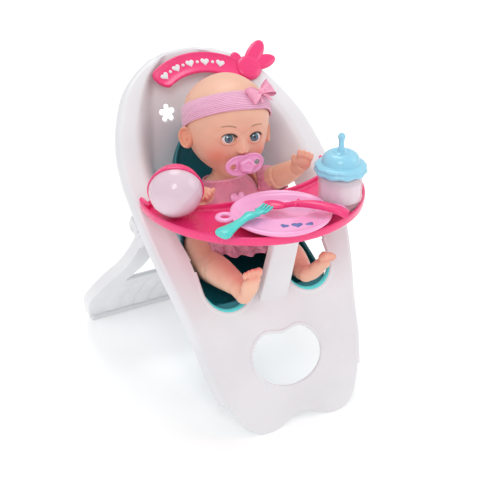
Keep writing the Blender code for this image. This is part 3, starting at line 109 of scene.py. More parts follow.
def in_head(mesh):
    """The mesh's vertices seen from the head frame, in centimetres."""
    return ((in_chair(mesh) - HIPS) @ turn("X", RECLINE) - HEAD_AT) @ HEAD_MATRIX


# ---------------------------------------------------------------- curves and grids
def circle(count):
    """Angles at equal steps once round."""
    return np.linspace(0, TAU, count, endpoint=False)


def points_of(*parts):
    """Coordinates put together into points, spread to one shape first."""
    return np.stack(np.broadcast_arrays(*parts), axis=-1)


def eased(value, low, high):
    """A smooth step from 0 at low to 1 at high."""
    share = np.clip((value - low) / (high - low), 0.0, 1.0)
    return share * share * (3 - 2 * share)


def bump(distance, width):
    """A bell: 1 at no distance, falling off over the width."""
    return np.exp(-((distance / width) ** 2))


def catmull(stations, per_span, closed=False):
    """Rows read from a smooth curve through the stations, per_span to each span."""
    keys = np.array(stations, float)
    if closed:
        padded = np.vstack([keys[-1:], keys, keys[:2]])
    else:
        padded = np.vstack([2 * keys[0] - keys[1], keys, 2 * keys[-1] - keys[-2]])
    t = (np.arange(per_span) / per_span)[None, :, None]
    before, start, end, after = (padded[i : len(padded) - 3 + i][:, None] for i in range(4))
    rows = 0.5 * (
        2 * start
        + (end - before) * t
        + (2 * before - 5 * start + 4 * end - after) * t**2
        + (3 * start - before - 3 * end + after) * t**3
    )
    rows = rows.reshape(-1, keys.shape[1])
    return rows if closed else np.vstack([rows, keys[-1:]])


def even(path, count, closed=False):
    """The path read again at equal steps of its length."""
    whole = np.vstack([path, path[:1]]) if closed else path
    lengths = np.concatenate([[0], np.cumsum(np.linalg.norm(np.diff(whole[:, :3], axis=0), axis=1))])
    at = np.linspace(0, lengths[-1], count, endpoint=not closed)
    return np.stack([np.interp(at, lengths, column) for column in whole.T], axis=1)


def unit(vectors):
    """The vectors at length 1."""
    return vectors / np.maximum(np.linalg.norm(vectors, axis=-1, keepdims=True), 1e-12)


def frames(path, closed=False):
    """Along, across and up directions on a path: across is carried from point to point without twisting."""
    if closed:
        along = unit(np.roll(path, -1, axis=0) - np.roll(path, 1, axis=0))
    else:
        along = unit(np.gradient(path, axis=0))
    guide = np.array([0.0, 0.0, 1.0]) if abs(along[0, 2]) < 0.9 else np.array([1.0, 0.0, 0.0])
    across = np.zeros_like(path)
    last = np.cross(along[0], guide)
    for index, direction in enumerate(along):
        last = last - direction * (last @ direction)
        last = last / np.linalg.norm(last)
        across[index] = last
    return along, across, np.cross(across, along)


def swept(path, section, scale=1.0, closed=False, across=None, up=None):
    """A profile (sideways, up) carried along a path, scaled at each of its points; ends run to a point."""
    found = frames(path, closed)
    across = found[1] if across is None else np.broadcast_to(across, path.shape)
    up = found[2] if up is None else np.broadcast_to(up, path.shape)
    scale = np.broadcast_to(np.asarray(scale, float), (len(path),) if np.ndim(scale) < 2 else (len(path), 2))
    scale = scale[:, None] if scale.ndim == 1 else scale
    side, rise = (scale[:, :1], scale[:, -1:])
    grid = (
        path[:, None]
        + across[:, None] * (section[:, 0][None] * side)[..., None]
        + up[:, None] * (section[:, 1][None] * rise)[..., None]
    )
    if closed:
        return grid
    caps = [np.repeat(grid[end].mean(axis=0)[None, None], len(section), axis=1) for end in (0, -1)]
    near = [caps[0] * 0.35 + grid[:1] * 0.65, caps[1] * 0.35 + grid[-1:] * 0.65]
    return np.concatenate([caps[0], near[0], grid, near[1], caps[1]])


def round_section(count=20, power=2.0, wide=1.0, tall=1.0):
    """A rounded outline: circle at power 2, squarer as it grows."""
    angle = circle(count)
    c, s = np.cos(angle), np.sin(angle)
    return points_of(
        wide * np.sign(c) * np.abs(c) ** (2 / power), tall * np.sign(s) * np.abs(s) ** (2 / power)
    )


def turned(profile, count=72, ripple=None):
    """A profile (radius, height) spun about Z; ripple(angle, radius, height) may add to the radius."""
    angle = circle(count)[None]
    radius, height = (np.asarray(profile, float)[:, i][:, None] for i in (0, 1))
    if ripple is not None:
        radius = radius + ripple(angle, radius, height)
    return points_of(radius * np.cos(angle), radius * np.sin(angle), height)


def ball_grid(radii, rows=28, columns=40):
    """An ellipsoid on latitude and longitude."""
    down = np.linspace(0, math.pi, rows)[:, None]
    angle = circle(columns)[None]
    return points_of(
        np.sin(down) * np.cos(angle), np.sin(down) * np.sin(angle), np.cos(down)
    ) * np.asarray(radii, float)


def banded(outer, inner, profile, up, closed=True):
    """A profile (share from outer to inner edge, inset, height) carried round between two matching outlines.

    The inset is a distance inwards from the outer edge where the share is below a half, and from the inner one
    above it, so that a rim keeps its width where the band widens."""
    profile = np.asarray(profile, float)
    across = unit(inner - outer)
    share, inset, height = (profile[:, i][None, :, None] for i in range(3))
    base = np.where(share < 0.5, outer[:, None], inner[:, None])
    middle = (share > 0.25) & (share < 0.75)
    base = np.where(middle, outer[:, None] * (1 - share) + inner[:, None] * share, base)
    sign = np.where(share < 0.5, 1.0, -1.0)
    grid = base + across[:, None] * inset * sign + np.asarray(up, float) * height
    if closed:
        return grid
    low, high = profile[:, 2].min(), profile[:, 2].max()
    caps = []
    for end in (0, -1):
        core = 0.5 * (outer[end] + inner[end]) + np.asarray(up, float) * (low + high) / 2
        caps.append(np.broadcast_to(core, grid[end].shape)[None])
    return np.concatenate([caps[0], grid, caps[1]])


# ---------------------------------------------------------------- meshes
def cells(rows, columns, wrap_rows, wrap_columns, keep=None):
    """The corner numbers of each cell of a grid of points."""
    i = np.arange(rows if wrap_rows else rows - 1)
    j = np.arange(columns if wrap_columns else columns - 1)
    i, j = np.meshgrid(i, j, indexing="ij")
    if keep is not None:
        i, j = i[keep], j[keep]
    i, j = i.ravel(), j.ravel()
    below, right = (i + 1) % rows, (j + 1) % columns
    return np.stack(
        [i * columns + j, i * columns + right, below * columns + right, below * columns + j], axis=1
    )


def mesh_of(name, patches, weld=2e-6, outward=True):
    """One mesh of several grids (points in metres, wraps down, wraps across, cells kept), welded where they meet."""
    points, faces, start = [], [], 0
    for grid, wrap_rows, wrap_columns, keep in patches:
        rows, columns = grid.shape[:2]
        points.append(grid.reshape(-1, 3))
        faces.append(cells(rows, columns, wrap_rows, wrap_columns, keep) + start)
        start += rows * columns
    mesh = bpy.data.meshes.new(name)
    mesh.from_pydata(np.concatenate(points).tolist(), [], np.concatenate(faces).tolist())
    bm = bmesh.new()
    bm.from_mesh(mesh)
    bmesh.ops.remove_doubles(bm, verts=bm.verts, dist=weld)
    bmesh.ops.dissolve_degenerate(bm, edges=bm.edges, dist=weld)
    loose = [vert for vert in bm.verts if not vert.link_faces]
    bmesh.ops.delete(bm, geom=loose, context="VERTS")
    if outward:
        bmesh.ops.recalc_face_normals(bm, faces=bm.faces)
    bm.to_mesh(mesh)
    bm.free()
    return mesh


def spun(grid):
    """A patch that closes round its columns."""
    return (grid, False, True, None)


def ring(grid):
    """A patch that closes both ways."""
    return (grid, True, True, None)


def sheet_patch(grid, keep=None):
    """An open patch."""
    return (grid, False, False, keep)


def show(name, mesh, finish, body, nodes=(), slot=None, wall=0.0, sharp=50):
    """A piece of the model: its mesh, finish and body, and the plain solids that it stands for."""
    obj = bpy.data.objects.new(name, mesh)
    bpy.context.scene.collection.objects.link(obj)
    if wall:
        solidify = obj.modifiers.new("wall", "SOLIDIFY")
        solidify.thickness = wall
        solidify.offset = 0.0
        solidify.use_even_offset = False
    mesh.materials.clear()
    mesh.materials.append(FINISHES[finish])
    mesh.shade_smooth()
    mesh.set_sharp_from_angle(angle=math.radians(sharp))
    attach(obj, body)
    if nodes:
        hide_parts(*nodes)
    return obj


def piece(name, patches, *how, weld=2e-6, **more):
    """A piece made straight from its patches, shown as above."""
    return show(name, mesh_of(name, patches, weld), *how, **more)


def settled(obj, sharp=40):
    """The piece with its modifiers worked into its mesh."""
    bpy.context.view_layer.update()
    graph = bpy.context.evaluated_depsgraph_get()
    mesh = bpy.data.meshes.new_from_object(obj.evaluated_get(graph))
    obj.modifiers.clear()
    obj.data = mesh
    mesh.shade_smooth()
    mesh.set_sharp_from_angle(angle=math.radians(sharp))
    return obj


def prism(outline, half, matrix):
    """A closed slab of a flat outline, placed by a 4 by 4 matrix; it only cuts."""
    count = len(outline)
    flat = np.asarray(outline, float)
    points = np.concatenate([np.c_[flat, np.full(count, -half)], np.c_[flat, np.full(count, half)]])
    points = chair(points @ matrix[:3, :3].T + matrix[:3, 3])
    i = np.arange(count)
    sides = np.stack([i, (i + 1) % count, (i + 1) % count + count, i + count], axis=1).tolist()
    faces = sides + [list(range(count))[::-1], list(range(count, 2 * count))]
    mesh = bpy.data.meshes.new("cutter")
    mesh.from_pydata(points.tolist(), [], faces)
    bm = bmesh.new()
    bm.from_mesh(mesh)
    bmesh.ops.recalc_face_normals(bm, faces=bm.faces)
    bm.to_mesh(mesh)
    bm.free()
    cutter = bpy.data.objects.new("cutter", mesh)
    bpy.context.scene.collection.objects.link(cutter)
    return cutter


def cut(obj, cutters):
    """The piece with the slabs cut out of it; the slabs are then removed."""
    for cutter in cutters:
        boolean = obj.modifiers.new("cut", "BOOLEAN")
        boolean.operation = "DIFFERENCE"
        boolean.solver = "EXACT"
        boolean.object = cutter
    settled(obj)
    for cutter in cutters:
        bpy.data.objects.remove(cutter)
    return obj


def number(mesh, name, values):
    """A value at each vertex, for a finish that reads it by name."""
    mesh.attributes.new(name, "FLOAT", "POINT").data.foreach_set("value", np.asarray(values, np.float32))


def places(mesh):
    """The vertices' places as an array."""
    flat = np.empty(len(mesh.vertices) * 3)
    mesh.vertices.foreach_get("co", flat)
    return flat.reshape(-1, 3)


# ---------------------------------------------------------------- finishes
class Wire:
    """A socket of a finish; arithmetic on it adds the Math nodes that it stands for."""

    def __init__(self, finish, socket):
        self.finish = finish
        self.socket = socket

    def math(self, operation, *values):
        return self.finish.math(operation, self, *values)

    def __add__(self, other):
        return self.finish.math("ADD", self, other)

    def __sub__(self, other):
        return self.finish.math("SUBTRACT", self, other)

    def __rsub__(self, other):
        return self.finish.math("SUBTRACT", other, self)

    def __mul__(self, other):
        return self.finish.math("MULTIPLY", self, other)

    def __lt__(self, other):
        return self.finish.math("LESS_THAN", self, other)

    __radd__ = __add__
    __rmul__ = __mul__


class Finish:
    """One material's nodes, made by expressions."""

    def __init__(self, name):
        self.material = bpy.data.materials.new(name)
        self.material.use_nodes = True
        self.tree = self.material.node_tree
        self.shader = self.tree.nodes["Principled BSDF"]
        self.where = self.add("ShaderNodeTexCoord", output="Object")

    def add(self, kind, settings=None, values=None, output=0):
        """A node of this type with its settings, then the values or links of its sockets; gives one output."""
        node = self.tree.nodes.new(kind)
        for key, value in (settings or {}).items():
            setattr(node, key, value)
        for key, value in (values or {}).items():
            self.put(node.inputs[key], value)
        return Wire(self, node.outputs[output])

    def put(self, socket, value):
        """Links a wire to the socket, or sets its value; a colour gets its alpha."""
        if isinstance(value, Wire):
            self.tree.links.new(value.socket, socket)
        else:
            colour = socket.type == "RGBA" and np.ndim(value) and len(value) == 3
            socket.default_value = (*value, 1.0) if colour else value

    def math(self, operation, *values):
        """A Math node's result."""
        return self.add("ShaderNodeMath", {"operation": operation}, dict(enumerate(values)))

    def noise(self, scale, detail):
        """Cloudy noise from 0 to 1, that many features to a metre."""
        return self.add(
            "ShaderNodeTexNoise", None, {"Vector": self.where, "Scale": scale, "Detail": detail}, "Fac"
        )

    def dots(self, scale):
        """Distance from the nearest of many scattered dots."""
        return self.add("ShaderNodeTexVoronoi", None, {"Vector": self.where, "Scale": scale}, "Distance")

    def attribute(self, name):
        """The value that number() gave each vertex under this name."""
        return self.add("ShaderNodeAttribute", {"attribute_name": name}, None, "Fac")

    def mix(self, share, first, second):
        """Two colours mixed by a share."""
        return self.add("ShaderNodeMix", {"data_type": "RGBA"}, {0: share, 6: first, 7: second}, 2)

    def step(self, value, low, high):
        """0 below low, 1 above high, smooth between."""
        settings = {"interpolation_type": "SMOOTHSTEP"}
        return self.add("ShaderNodeMapRange", settings, {"Value": value, "From Min": low, "From Max": high})

    def raised(self, height, distance, strength=1.0, normal=None):
        """A Bump node's normal from a height."""
        values = {"Height": height, "Distance": distance, "Strength": strength}
        if normal is not None:
            values["Normal"] = normal
        return self.add("ShaderNodeBump", None, values)

    def done(self, **sockets):
        """Sets the shader's own sockets; names have underscores for spaces."""
        for key, value in sockets.items():
            self.put(self.shader.inputs[key.replace("_", " ")], value)
        return self.material


def tint(colour, factor):
    """The colour made lighter or darker by a factor."""
    return tuple(min(1.0, max(0.0, part * factor)) for part in colour)


def moulded(name, colour, roughness, coat=0.25):
    """Injection-moulded plastic: faint cloudy tone, a fine spark-eroded grain, rubbed patches and flow ripple."""
    finish = Finish(name)
    cloud = finish.noise(14, 4)
    scuff = finish.noise(90, 6)
    fine = finish.noise(2600, 2)
    flow = finish.noise(30, 2)
    base = finish.mix(finish.step(cloud, 0.35, 0.7), colour, tint(colour, 0.94))
    base = finish.mix(finish.step(scuff, 0.62, 0.8) * 0.25, base, tint(colour, 1.08))
    skin = finish.raised(fine, 0.00004, 0.35)
    wave = finish.raised(flow, 0.0004, 0.12, skin)
    return finish.done(
        Base_Color=base,
        Roughness=roughness + (cloud - 0.5) * 0.12 + finish.step(scuff, 0.55, 0.8) * 0.08,
        Normal=wave,
        Coat_Weight=coat,
        Coat_Roughness=0.12,
    )


def clear(name, colour, alpha):
    """Clear moulding: see-through body with a milky cloud, faint scratches and a hard gloss."""
    finish = Finish(name)
    cloud = finish.noise(25, 3)
    scratch = finish.noise(700, 2)
    base = finish.mix(cloud, colour, tint(colour, 1.05))
    return finish.done(
        Base_Color=base,
        Roughness=0.06 + finish.step(scratch, 0.55, 0.75) * 0.05,
        Alpha=alpha + (cloud - 0.5) * 0.12,
        Normal=finish.raised(cloud, 0.0003, 0.2),
        Coat_Weight=0.6,
        Coat_Roughness=0.04,
    )


def vinyl(name):
    """Soft vinyl skin: mottled peach, rosy where the blush value is, pores, and painted brows, lashes and lips."""
    finish = Finish(name)
    mottle = finish.noise(55, 5)
    broad = finish.noise(9, 2)
    pores = finish.dots(1500)
    base = finish.mix(finish.step(mottle, 0.3, 0.75), SKIN, tint(SKIN, 0.93))
    base = finish.mix(finish.step(broad, 0.4, 0.7) * 0.35, base, (0.88, 0.44, 0.29))
    base = finish.mix(finish.attribute("blush") * 0.55, base, (0.86, 0.22, 0.16))
    base = finish.mix(finish.attribute("lips") * 0.8, base, (0.72, 0.14, 0.14))
    base = finish.mix(finish.attribute("brow") * 0.75, base, (0.22, 0.09, 0.04))
    base = finish.mix(finish.attribute("lash"), base, (0.02, 0.012, 0.01))
    grain = finish.raised(pores, 0.00006, 0.25)
    return finish.done(
        Base_Color=base,
        Roughness=0.44 + (mottle - 0.5) * 0.16,
        Normal=finish.raised(mottle, 0.0004, 0.15, grain),
        Subsurface_Weight=0.12,
        Subsurface_Radius=(0.012, 0.005, 0.003),
        Subsurface_Scale=0.4,
        Coat_Weight=0.06,
        Coat_Roughness=0.35,
    )


def eye_paint(name):
    """A moulded eye: dark pupil, streaked blue-grey iris with a darker edge, and white, read from the gaze value,
    with a painted highlight: a white spot read from its own value.
    """
    finish = Finish(name)
    gaze = finish.attribute("gaze")
    streak = finish.noise(900, 3)
    iris = finish.mix(finish.step(streak, 0.35, 0.7), (0.03, 0.11, 0.16), (0.13, 0.28, 0.36))
    iris = finish.mix(finish.step(gaze, 0.44, 0.58), iris, (0.012, 0.025, 0.04))
    eye = finish.mix(finish.step(gaze, 0.20, 0.235), (0.004, 0.004, 0.005), iris)
    eye = finish.mix(finish.step(gaze, 0.60, 0.65), eye, (0.86, 0.85, 0.84))
    # Painted highlight: a white spot painted on the eye where light would glint.
    eye = finish.mix(finish.attribute("painted_highlight"), eye, (1.0, 1.0, 1.0))
    return finish.done(
        Base_Color=eye,
        Roughness=0.06 + streak * 0.03,
        Normal=finish.raised(streak, 0.00003, 0.2),
        Coat_Weight=0.8,
        Coat_Roughness=0.02,
    )


def satin(name, colour, sparkle=0.0):
    """Woven satin: fine diagonal twill, slubs, puckers painted darker in their hollows and lighter on their ridges as
    painted shade and highlight, and a soft sheen; sparkle adds tiny glitter dots.
    """
    finish = Finish(name)
    turned_where = finish.add(
        "ShaderNodeMapping", None, {"Vector": finish.where, "Rotation": (0.4, 0.3, 0.78)}
    )
    warp = finish.add(
        "ShaderNodeTexWave", {"bands_direction": "X"}, {"Vector": turned_where, "Scale": 620}, "Fac"
    )
    weft = finish.add(
        "ShaderNodeTexWave", {"bands_direction": "Z"}, {"Vector": turned_where, "Scale": 450}, "Fac"
    )
    crease = finish.noise(70, 5)
    slub = finish.noise(260, 3)
    # Painted shade and highlight: darker in the hollows and lighter on the ridges of the crease noise that the
    # puckers follow.
    base = finish.mix(finish.step(crease, 0.3, 0.75), tint(colour, 0.86), tint(colour, 1.12))
    base = finish.mix(warp * 0.18, base, tint(colour, 1.3))
    thread = finish.raised(warp * 0.6 + weft * 0.4, 0.00009, 0.5)
    fleck = finish.dots(520)
    glitter = (fleck < 0.16) * sparkle
    return finish.done(
        Base_Color=finish.mix(glitter, base, (1.0, 0.93, 0.96)),
        Roughness=0.42 + slub * 0.2 - glitter * 0.3,
        Metallic=glitter * 0.6,
        Normal=finish.raised(crease, 0.0006, 0.4, thread),
        Sheen_Weight=0.4,
        Sheen_Roughness=0.35,
    )


def net(name, colour):
    """Tulle: a see-through net of fine holes, cloudy where layers fold, with glitter points."""
    finish = Finish(name)
    holes = finish.dots(1100)
    cloud = finish.noise(120, 4)
    fleck = finish.dots(430)
    glitter = fleck < 0.15
    threads = finish.step(holes, 0.25, 0.5)
    return finish.done(
        Base_Color=finish.mix(glitter, finish.mix(cloud, colour, tint(colour, 1.25)), (1.0, 0.95, 0.97)),
        Roughness=0.65 - glitter * 0.45,
        Metallic=glitter * 0.7,
        Alpha=(0.38 + threads * 0.34 + cloud * 0.16 + glitter * 0.4).math("MINIMUM", 1.0),
        Normal=finish.raised(holes, 0.0001, 0.5),
        Sheen_Weight=0.3,
    )


def knit(name, colour):
    """Fine rib knit: the rib value runs across the ribs, and loops cross it; the colour is painted darker in the
    grooves between the ribs, as painted shade.
    """
    finish = Finish(name)
    rib = finish.attribute("rib")
    groove = (rib * TAU).math("SINE") * 0.5 + 0.5
    loop = finish.noise(1300, 2)
    fuzz = finish.noise(240, 4)
    # Painted shade: darker in the grooves between the ribs, lighter on their tops.
    base = finish.mix(groove, tint(colour, 0.74), tint(colour, 1.06))
    base = finish.mix(finish.step(fuzz, 0.5, 0.8) * 0.4, base, tint(colour, 1.2))
    ribs = finish.raised(groove, 0.0006, 0.8)
    return finish.done(
        Base_Color=base,
        Roughness=0.78 + fuzz * 0.15,
        Normal=finish.raised(loop, 0.00015, 0.5, ribs),
        Sheen_Weight=0.5,
    )


def steel(name):
    """Turned steel: fine rings and a grey cast."""
    finish = Finish(name)
    brush = finish.noise(1500, 4)
    return finish.done(
        Base_Color=finish.mix(brush, (0.52, 0.53, 0.55), (0.72, 0.73, 0.75)),
        Metallic=1.0,
        Roughness=0.22 + brush * 0.2,
        Normal=finish.raised(brush, 0.00004, 0.4),
    )


SKIN = (0.86, 0.50, 0.36)
FINISHES = {
    name: make(name, *look)
    for name, make, *look in (
        ("white_plastic", moulded, (0.80, 0.80, 0.825), 0.34, 0.15),
        ("magenta_plastic", moulded, (0.90, 0.035, 0.20), 0.26),
        ("pale_pink_plastic", moulded, (0.95, 0.41, 0.70), 0.2),
        ("turquoise_plastic", moulded, (0.07, 0.65, 0.60), 0.26),
        # the seat's teal painted much lighter, a painted lit copy of it for the lips
        ("lip_plastic", moulded, (0.11, 0.78, 0.80), 0.3),
        ("sky_blue_plastic", moulded, (0.30, 0.66, 0.84), 0.22),
        ("teal_plastic", moulded, (0.006, 0.17, 0.21), 0.34, 0.1),
        ("clear_plastic", clear, (0.95, 0.84, 0.90), 0.42),
        ("ball_plastic", clear, (0.94, 0.78, 0.87), 0.62),
        ("milk", moulded, (0.93, 0.80, 0.84), 0.5),
        ("skin_vinyl", vinyl),
        ("eye_plastic", eye_paint),
        ("satin", satin, (0.74, 0.24, 0.36), 0.2),
        ("lilac_satin", satin, (0.78, 0.36, 0.56), 0.0),
        ("bow_satin", satin, (0.90, 0.36, 0.52), 1.0),
        ("tulle", net, (0.84, 0.44, 0.58)),
        ("knit", knit, (0.98, 0.47, 0.68)),
        ("black_plastic", moulded, (0.03, 0.03, 0.03), 0.5),
        ("board_laminate", moulded, (0.03, 0.20, 0.08), 0.5),
        ("steel", steel),
        ("print_blue", moulded, (0.10, 0.15, 0.42), 0.3),
    )
}


# ---------------------------------------------------------------- chair frame
FRAME_WALL = 0.28
# height, distance back of the rim, half width, distance back of the deepest line
FRAME_STATIONS = [
    (0.05, 0.13, 7.30, 0.13), (3.0, 1.72, 7.60, 1.72), (6.0, 3.34, 8.00, 3.34), (9.0, 4.96, 8.45, 4.96),
    (12.0, 6.58, 9.10, 6.58), (14.5, 8.30, 9.70, 9.30), (16.5, 10.00, 10.05, 15.50),
    (18.5, 11.75, 10.30, 20.90), (20.0, 13.00, 10.40, 21.10), (22.0, 15.20, 10.30, 21.30),
    (24.0, 17.30, 9.80, 21.60), (26.0, 19.40, 8.70, 22.30), (28.0, 21.40, 7.00, 23.20),
    (29.2, 22.75, 5.00, 23.80), (29.8, 23.60, 3.40, 24.10),
]
ROWS_PER_SPAN = 5
COLUMNS = 109  # a multiple of 18, and 1, so that the opening's sides fall on a column
DISH_FLAT, DISH_RIM = 0.45, 0.88
PANEL_LEAN = 0.54
GAP_LOW, GAP_HIGH, GAP_SIDE = 12.0, 18.5, 13 / 18
FOOT_LOBE_X, FOOT_VALLEY, FOOT_CORNER = 3.6, 1.0, 3.4
CROWN = 0.3
RIM_SIDE, RIM_BACK = 0.42, 0.95
FRAME_TOP = (24.35, 30.35)
HEART = (3.9, 3.1, 6.75, 0.8)  # half width, half height, place up the panel and depth of the notch
LEG_HOLE_X, LEG_HOLE_R, LEG_HOLE_UP = 4.45, 2.75, 14.7
FLOWER_X, FLOWER_Z, FLOWER_R = 2.85, 24.9, 0.78
HINGE, HINGE_OUT = (13.5, 17.9), 10.78
SLOPE = math.atan(PANEL_LEAN)
STRUT_LEAN = 18  # degrees


def up_panel(x, up, out=0.0):
    """The points that far up the leaning lower panel and out of its front face."""
    x, up = np.broadcast_arrays(np.asarray(x, float), np.asarray(up, float))
    y = 0.1 + up * math.sin(SLOPE) - out * math.cos(SLOPE)
    return points_of(x, y, up * math.cos(SLOPE) + out * math.sin(SLOPE))


def panel_matrix(x, up):
    """The lower panel's own plane, with its origin at that place on it."""
    matrix = np.eye(4)
    matrix[:3, :3] = turn("X", 90 - math.degrees(SLOPE))
    matrix[:3, 3] = up_panel(x, up)
    return matrix


def foot_rise(x):
    """Two round feet with a low cosine arch between them and a rounded outer corner."""
    x = np.abs(x)
    arch = FOOT_VALLEY * 0.5 * (1 + np.cos(np.pi * np.clip(x / FOOT_LOBE_X, 0, 1)))
    outer = np.clip((x - FOOT_LOBE_X) / (FRAME_STATIONS[0][2] - FOOT_LOBE_X), 0, 1)
    return np.where(x < FOOT_LOBE_X, arch, FOOT_CORNER * outer**2.5)


def frame_rows():
    """The frame's stations read as smooth rows."""
    return catmull(FRAME_STATIONS, ROWS_PER_SPAN)


def frame_grids():
    """Share across by height: half width times share, and a back distance that eases from rim to deepest line."""
    rows = frame_rows()
    share = np.linspace(-1, 1, COLUMNS)
    height, rim, half, deepest = (column[:, None] for column in rows.T)
    depth = 1 - eased(np.abs(share), DISH_FLAT, DISH_RIM)
    x = share * half
    y = rim + (deepest - rim) * depth
    lift = foot_rise(share * rows[0][2]) * np.clip(1 - height / 6, 0, 1)
    z = height + lift
    y = y + lift * PANEL_LEAN
    crown = CROWN * (1 - share**2) * np.clip((height - 29.2) / 0.6, 0, 1)
    middle = points_of(x, y + crown * PANEL_LEAN, z + crown)
    slope = unit(np.gradient(rows[:, :2], axis=0))
    edge = np.concatenate([middle[:, 0], middle[-1, 1:-1], middle[::-1, -1]])
    climb = np.concatenate([slope, np.repeat(slope[-1:], COLUMNS - 2, axis=0), slope[::-1]])
    centre = 0.5 * (rows[1:, 0] + rows[:-1, 0])
    cell = np.abs(0.5 * (share[1:] + share[:-1]))
    keep = ~(((centre > GAP_LOW) & (centre < GAP_HIGH))[:, None] & (cell < GAP_SIDE)[None])
    return middle, keep, rolled_edge(edge, climb)


def rolled_edge(edge, climb):
    """The outline carried outwards and back along a quarter turn, in the plane that leans with the rim."""
    rise, lean = climb.T
    along = np.gradient(edge, axis=0)
    across, up = along[:, 0], along[:, 1] * lean + along[:, 2] * rise
    length = np.hypot(across, up)
    out_x, out_up = -up / length, across / length
    angles = np.linspace(0, math.pi / 2, 7)
    path = [(math.sin(a), 0.62 * (1 - math.cos(a))) for a in angles] + [(1.0, 0.8), (1.0, 1.0)]
    out, back = np.array(path).T
    strip = np.repeat(edge[:, None], len(path), axis=1)
    strip[..., 0] += out * RIM_SIDE * out_x[:, None]
    strip[..., 1] += out * RIM_SIDE * (out_up * lean)[:, None] + back * RIM_BACK * rise[:, None]
    strip[..., 2] += out * RIM_SIDE * (out_up * rise)[:, None] - back * RIM_BACK * lean[:, None]
    return strip


def surface_back(x, z):
    """Distance back of the frame's middle surface at that place."""
    rows = frame_rows()
    rim, half, deepest = (np.interp(z, rows[:, 0], rows[:, column]) for column in (1, 2, 3))
    return rim + (deepest - rim) * (1 - eased(np.abs(x) / half, DISH_FLAT, DISH_RIM))


def heart_outline(count=120, grow=0.0):
    """An ellipse pressed in at its top by a bell-shaped notch."""
    angle = circle(count)
    from_top = np.minimum(angle, TAU - angle)
    y = (HEART[1] + grow) * np.cos(angle) - HEART[3] * bump(from_top, 0.4)
    return points_of((HEART[0] + grow) * np.sin(angle), y)


def flower_outline(radius, count=100):
    """A circle whose radius swells five times."""
    angle = circle(count)
    reach = radius * (0.74 + 0.5 * np.abs(np.cos(2.5 * angle)) ** 0.6)
    return points_of(reach * np.sin(angle), reach * np.cos(angle))


def leg_hole_outline(grow=0.0, top=3.0, count=40):
    """A slot with a round lower end."""
    angle = np.linspace(math.pi, TAU, count)
    reach = LEG_HOLE_R + grow
    bottom = points_of(reach * np.cos(angle), reach * np.sin(angle))
    return np.concatenate([[(-reach, top)], bottom, [(reach, top)]])


def chair_frame():
    """The shell on its grid, cut by the lower opening, two leg holes and two flowers, with a bead round each edge."""
    middle, keep, edge = frame_grids()
    mesh = mesh_of("chair_shell", [sheet_patch(chair(middle), keep), sheet_patch(chair(edge))], weld=1e-5)
    shell = show("chair_shell", mesh, "white_plastic", "chair", ["chair_frame"], wall=FRAME_WALL * CM)
    cutters = [prism(heart_outline(), 2, panel_matrix(0, HEART[2]))]
    for side in (-1, 1):
        cutters.append(prism(leg_hole_outline(), 2, panel_matrix(side * LEG_HOLE_X, LEG_HOLE_UP)))
        through = np.eye(4)
        through[:3, :3] = turn("X", 90)
        through[:3, 3] = (side * FLOWER_X, 22, FLOWER_Z)
        cutters.append(prism(flower_outline(FLOWER_R), 2, through))
    cut(shell, cutters)

    bead = round_section(14, 2.4, 0.23, 0.2)
    heart = even(up_panel(heart_outline()[:, 0], HEART[2] + heart_outline()[:, 1]), 150, closed=True)
    piece("heart_lip", [ring(chair(swept(heart, bead, closed=True)))], "white_plastic", "chair")
    for side, word in SIDES:
        outline = leg_hole_outline(top=1.6)
        outline = outline[:-1] if side < 0 else outline[1:]
        x = side * LEG_HOLE_X + outline[:, 0]
        z = up_panel(x, LEG_HOLE_UP + outline[:, 1])[:, 2]
        path = even(points_of(x, surface_back(x, z), z), 90)
        piece(f"leg_hole_lip_{word}", [spun(chair(swept(path, bead)))], "white_plastic", "chair")
        petals = flower_outline(FLOWER_R, 140)
        x, z = side * FLOWER_X + petals[:, 0], FLOWER_Z + petals[:, 1]
        path = points_of(x, surface_back(x, z), z)
        thin = round_section(10, 2, 0.1, 0.1)
        piece(
            f"flower_lip_{word}", [ring(chair(swept(even(path, 140, True), thin, closed=True)))],
            "white_plastic", "chair",
        )


def strut():
    """A tapered bar with a rounded square section, from the lower panel to the tray; it leans back."""
    low, high = np.array((0, 6.2, 10.9)), np.array(
        (0, 6.2 - 8.75 * math.tan(math.radians(STRUT_LEAN)), 19.95)
    )
    path = low + (high - low) * np.linspace(0, 1, 24)[:, None]
    taper = points_of(np.linspace(1.62, 1.37, 24), 0.47)
    grid = swept(path, round_section(44, 7), taper, across=(1.0, 0, 0), up=(0, 0.951, 0.309))
    piece("front_strut", [spun(chair(grid))], "white_plastic", "chair")


def seat_screws():
    """Pan-head screws behind the dish with a slot-like recess: a turned cap with a dished middle."""
    profile = catmull(
        [(0, 0.1), (0.1, 0.11), (0.16, 0.17), (0.3, 0.14), (0.33, 0.05), (0.33, 0.0), (0, 0)], 4
    )
    for side, word in SIDES:
        grid = turned(np.clip(profile, 0, None), 40) @ turn("X", -90).T + (side * 2.2, 21.6, 19.4)
        piece(f"screw_head_{word}", [spun(chair(grid))], "steel", "chair", [f"seat_screw_{word}"])


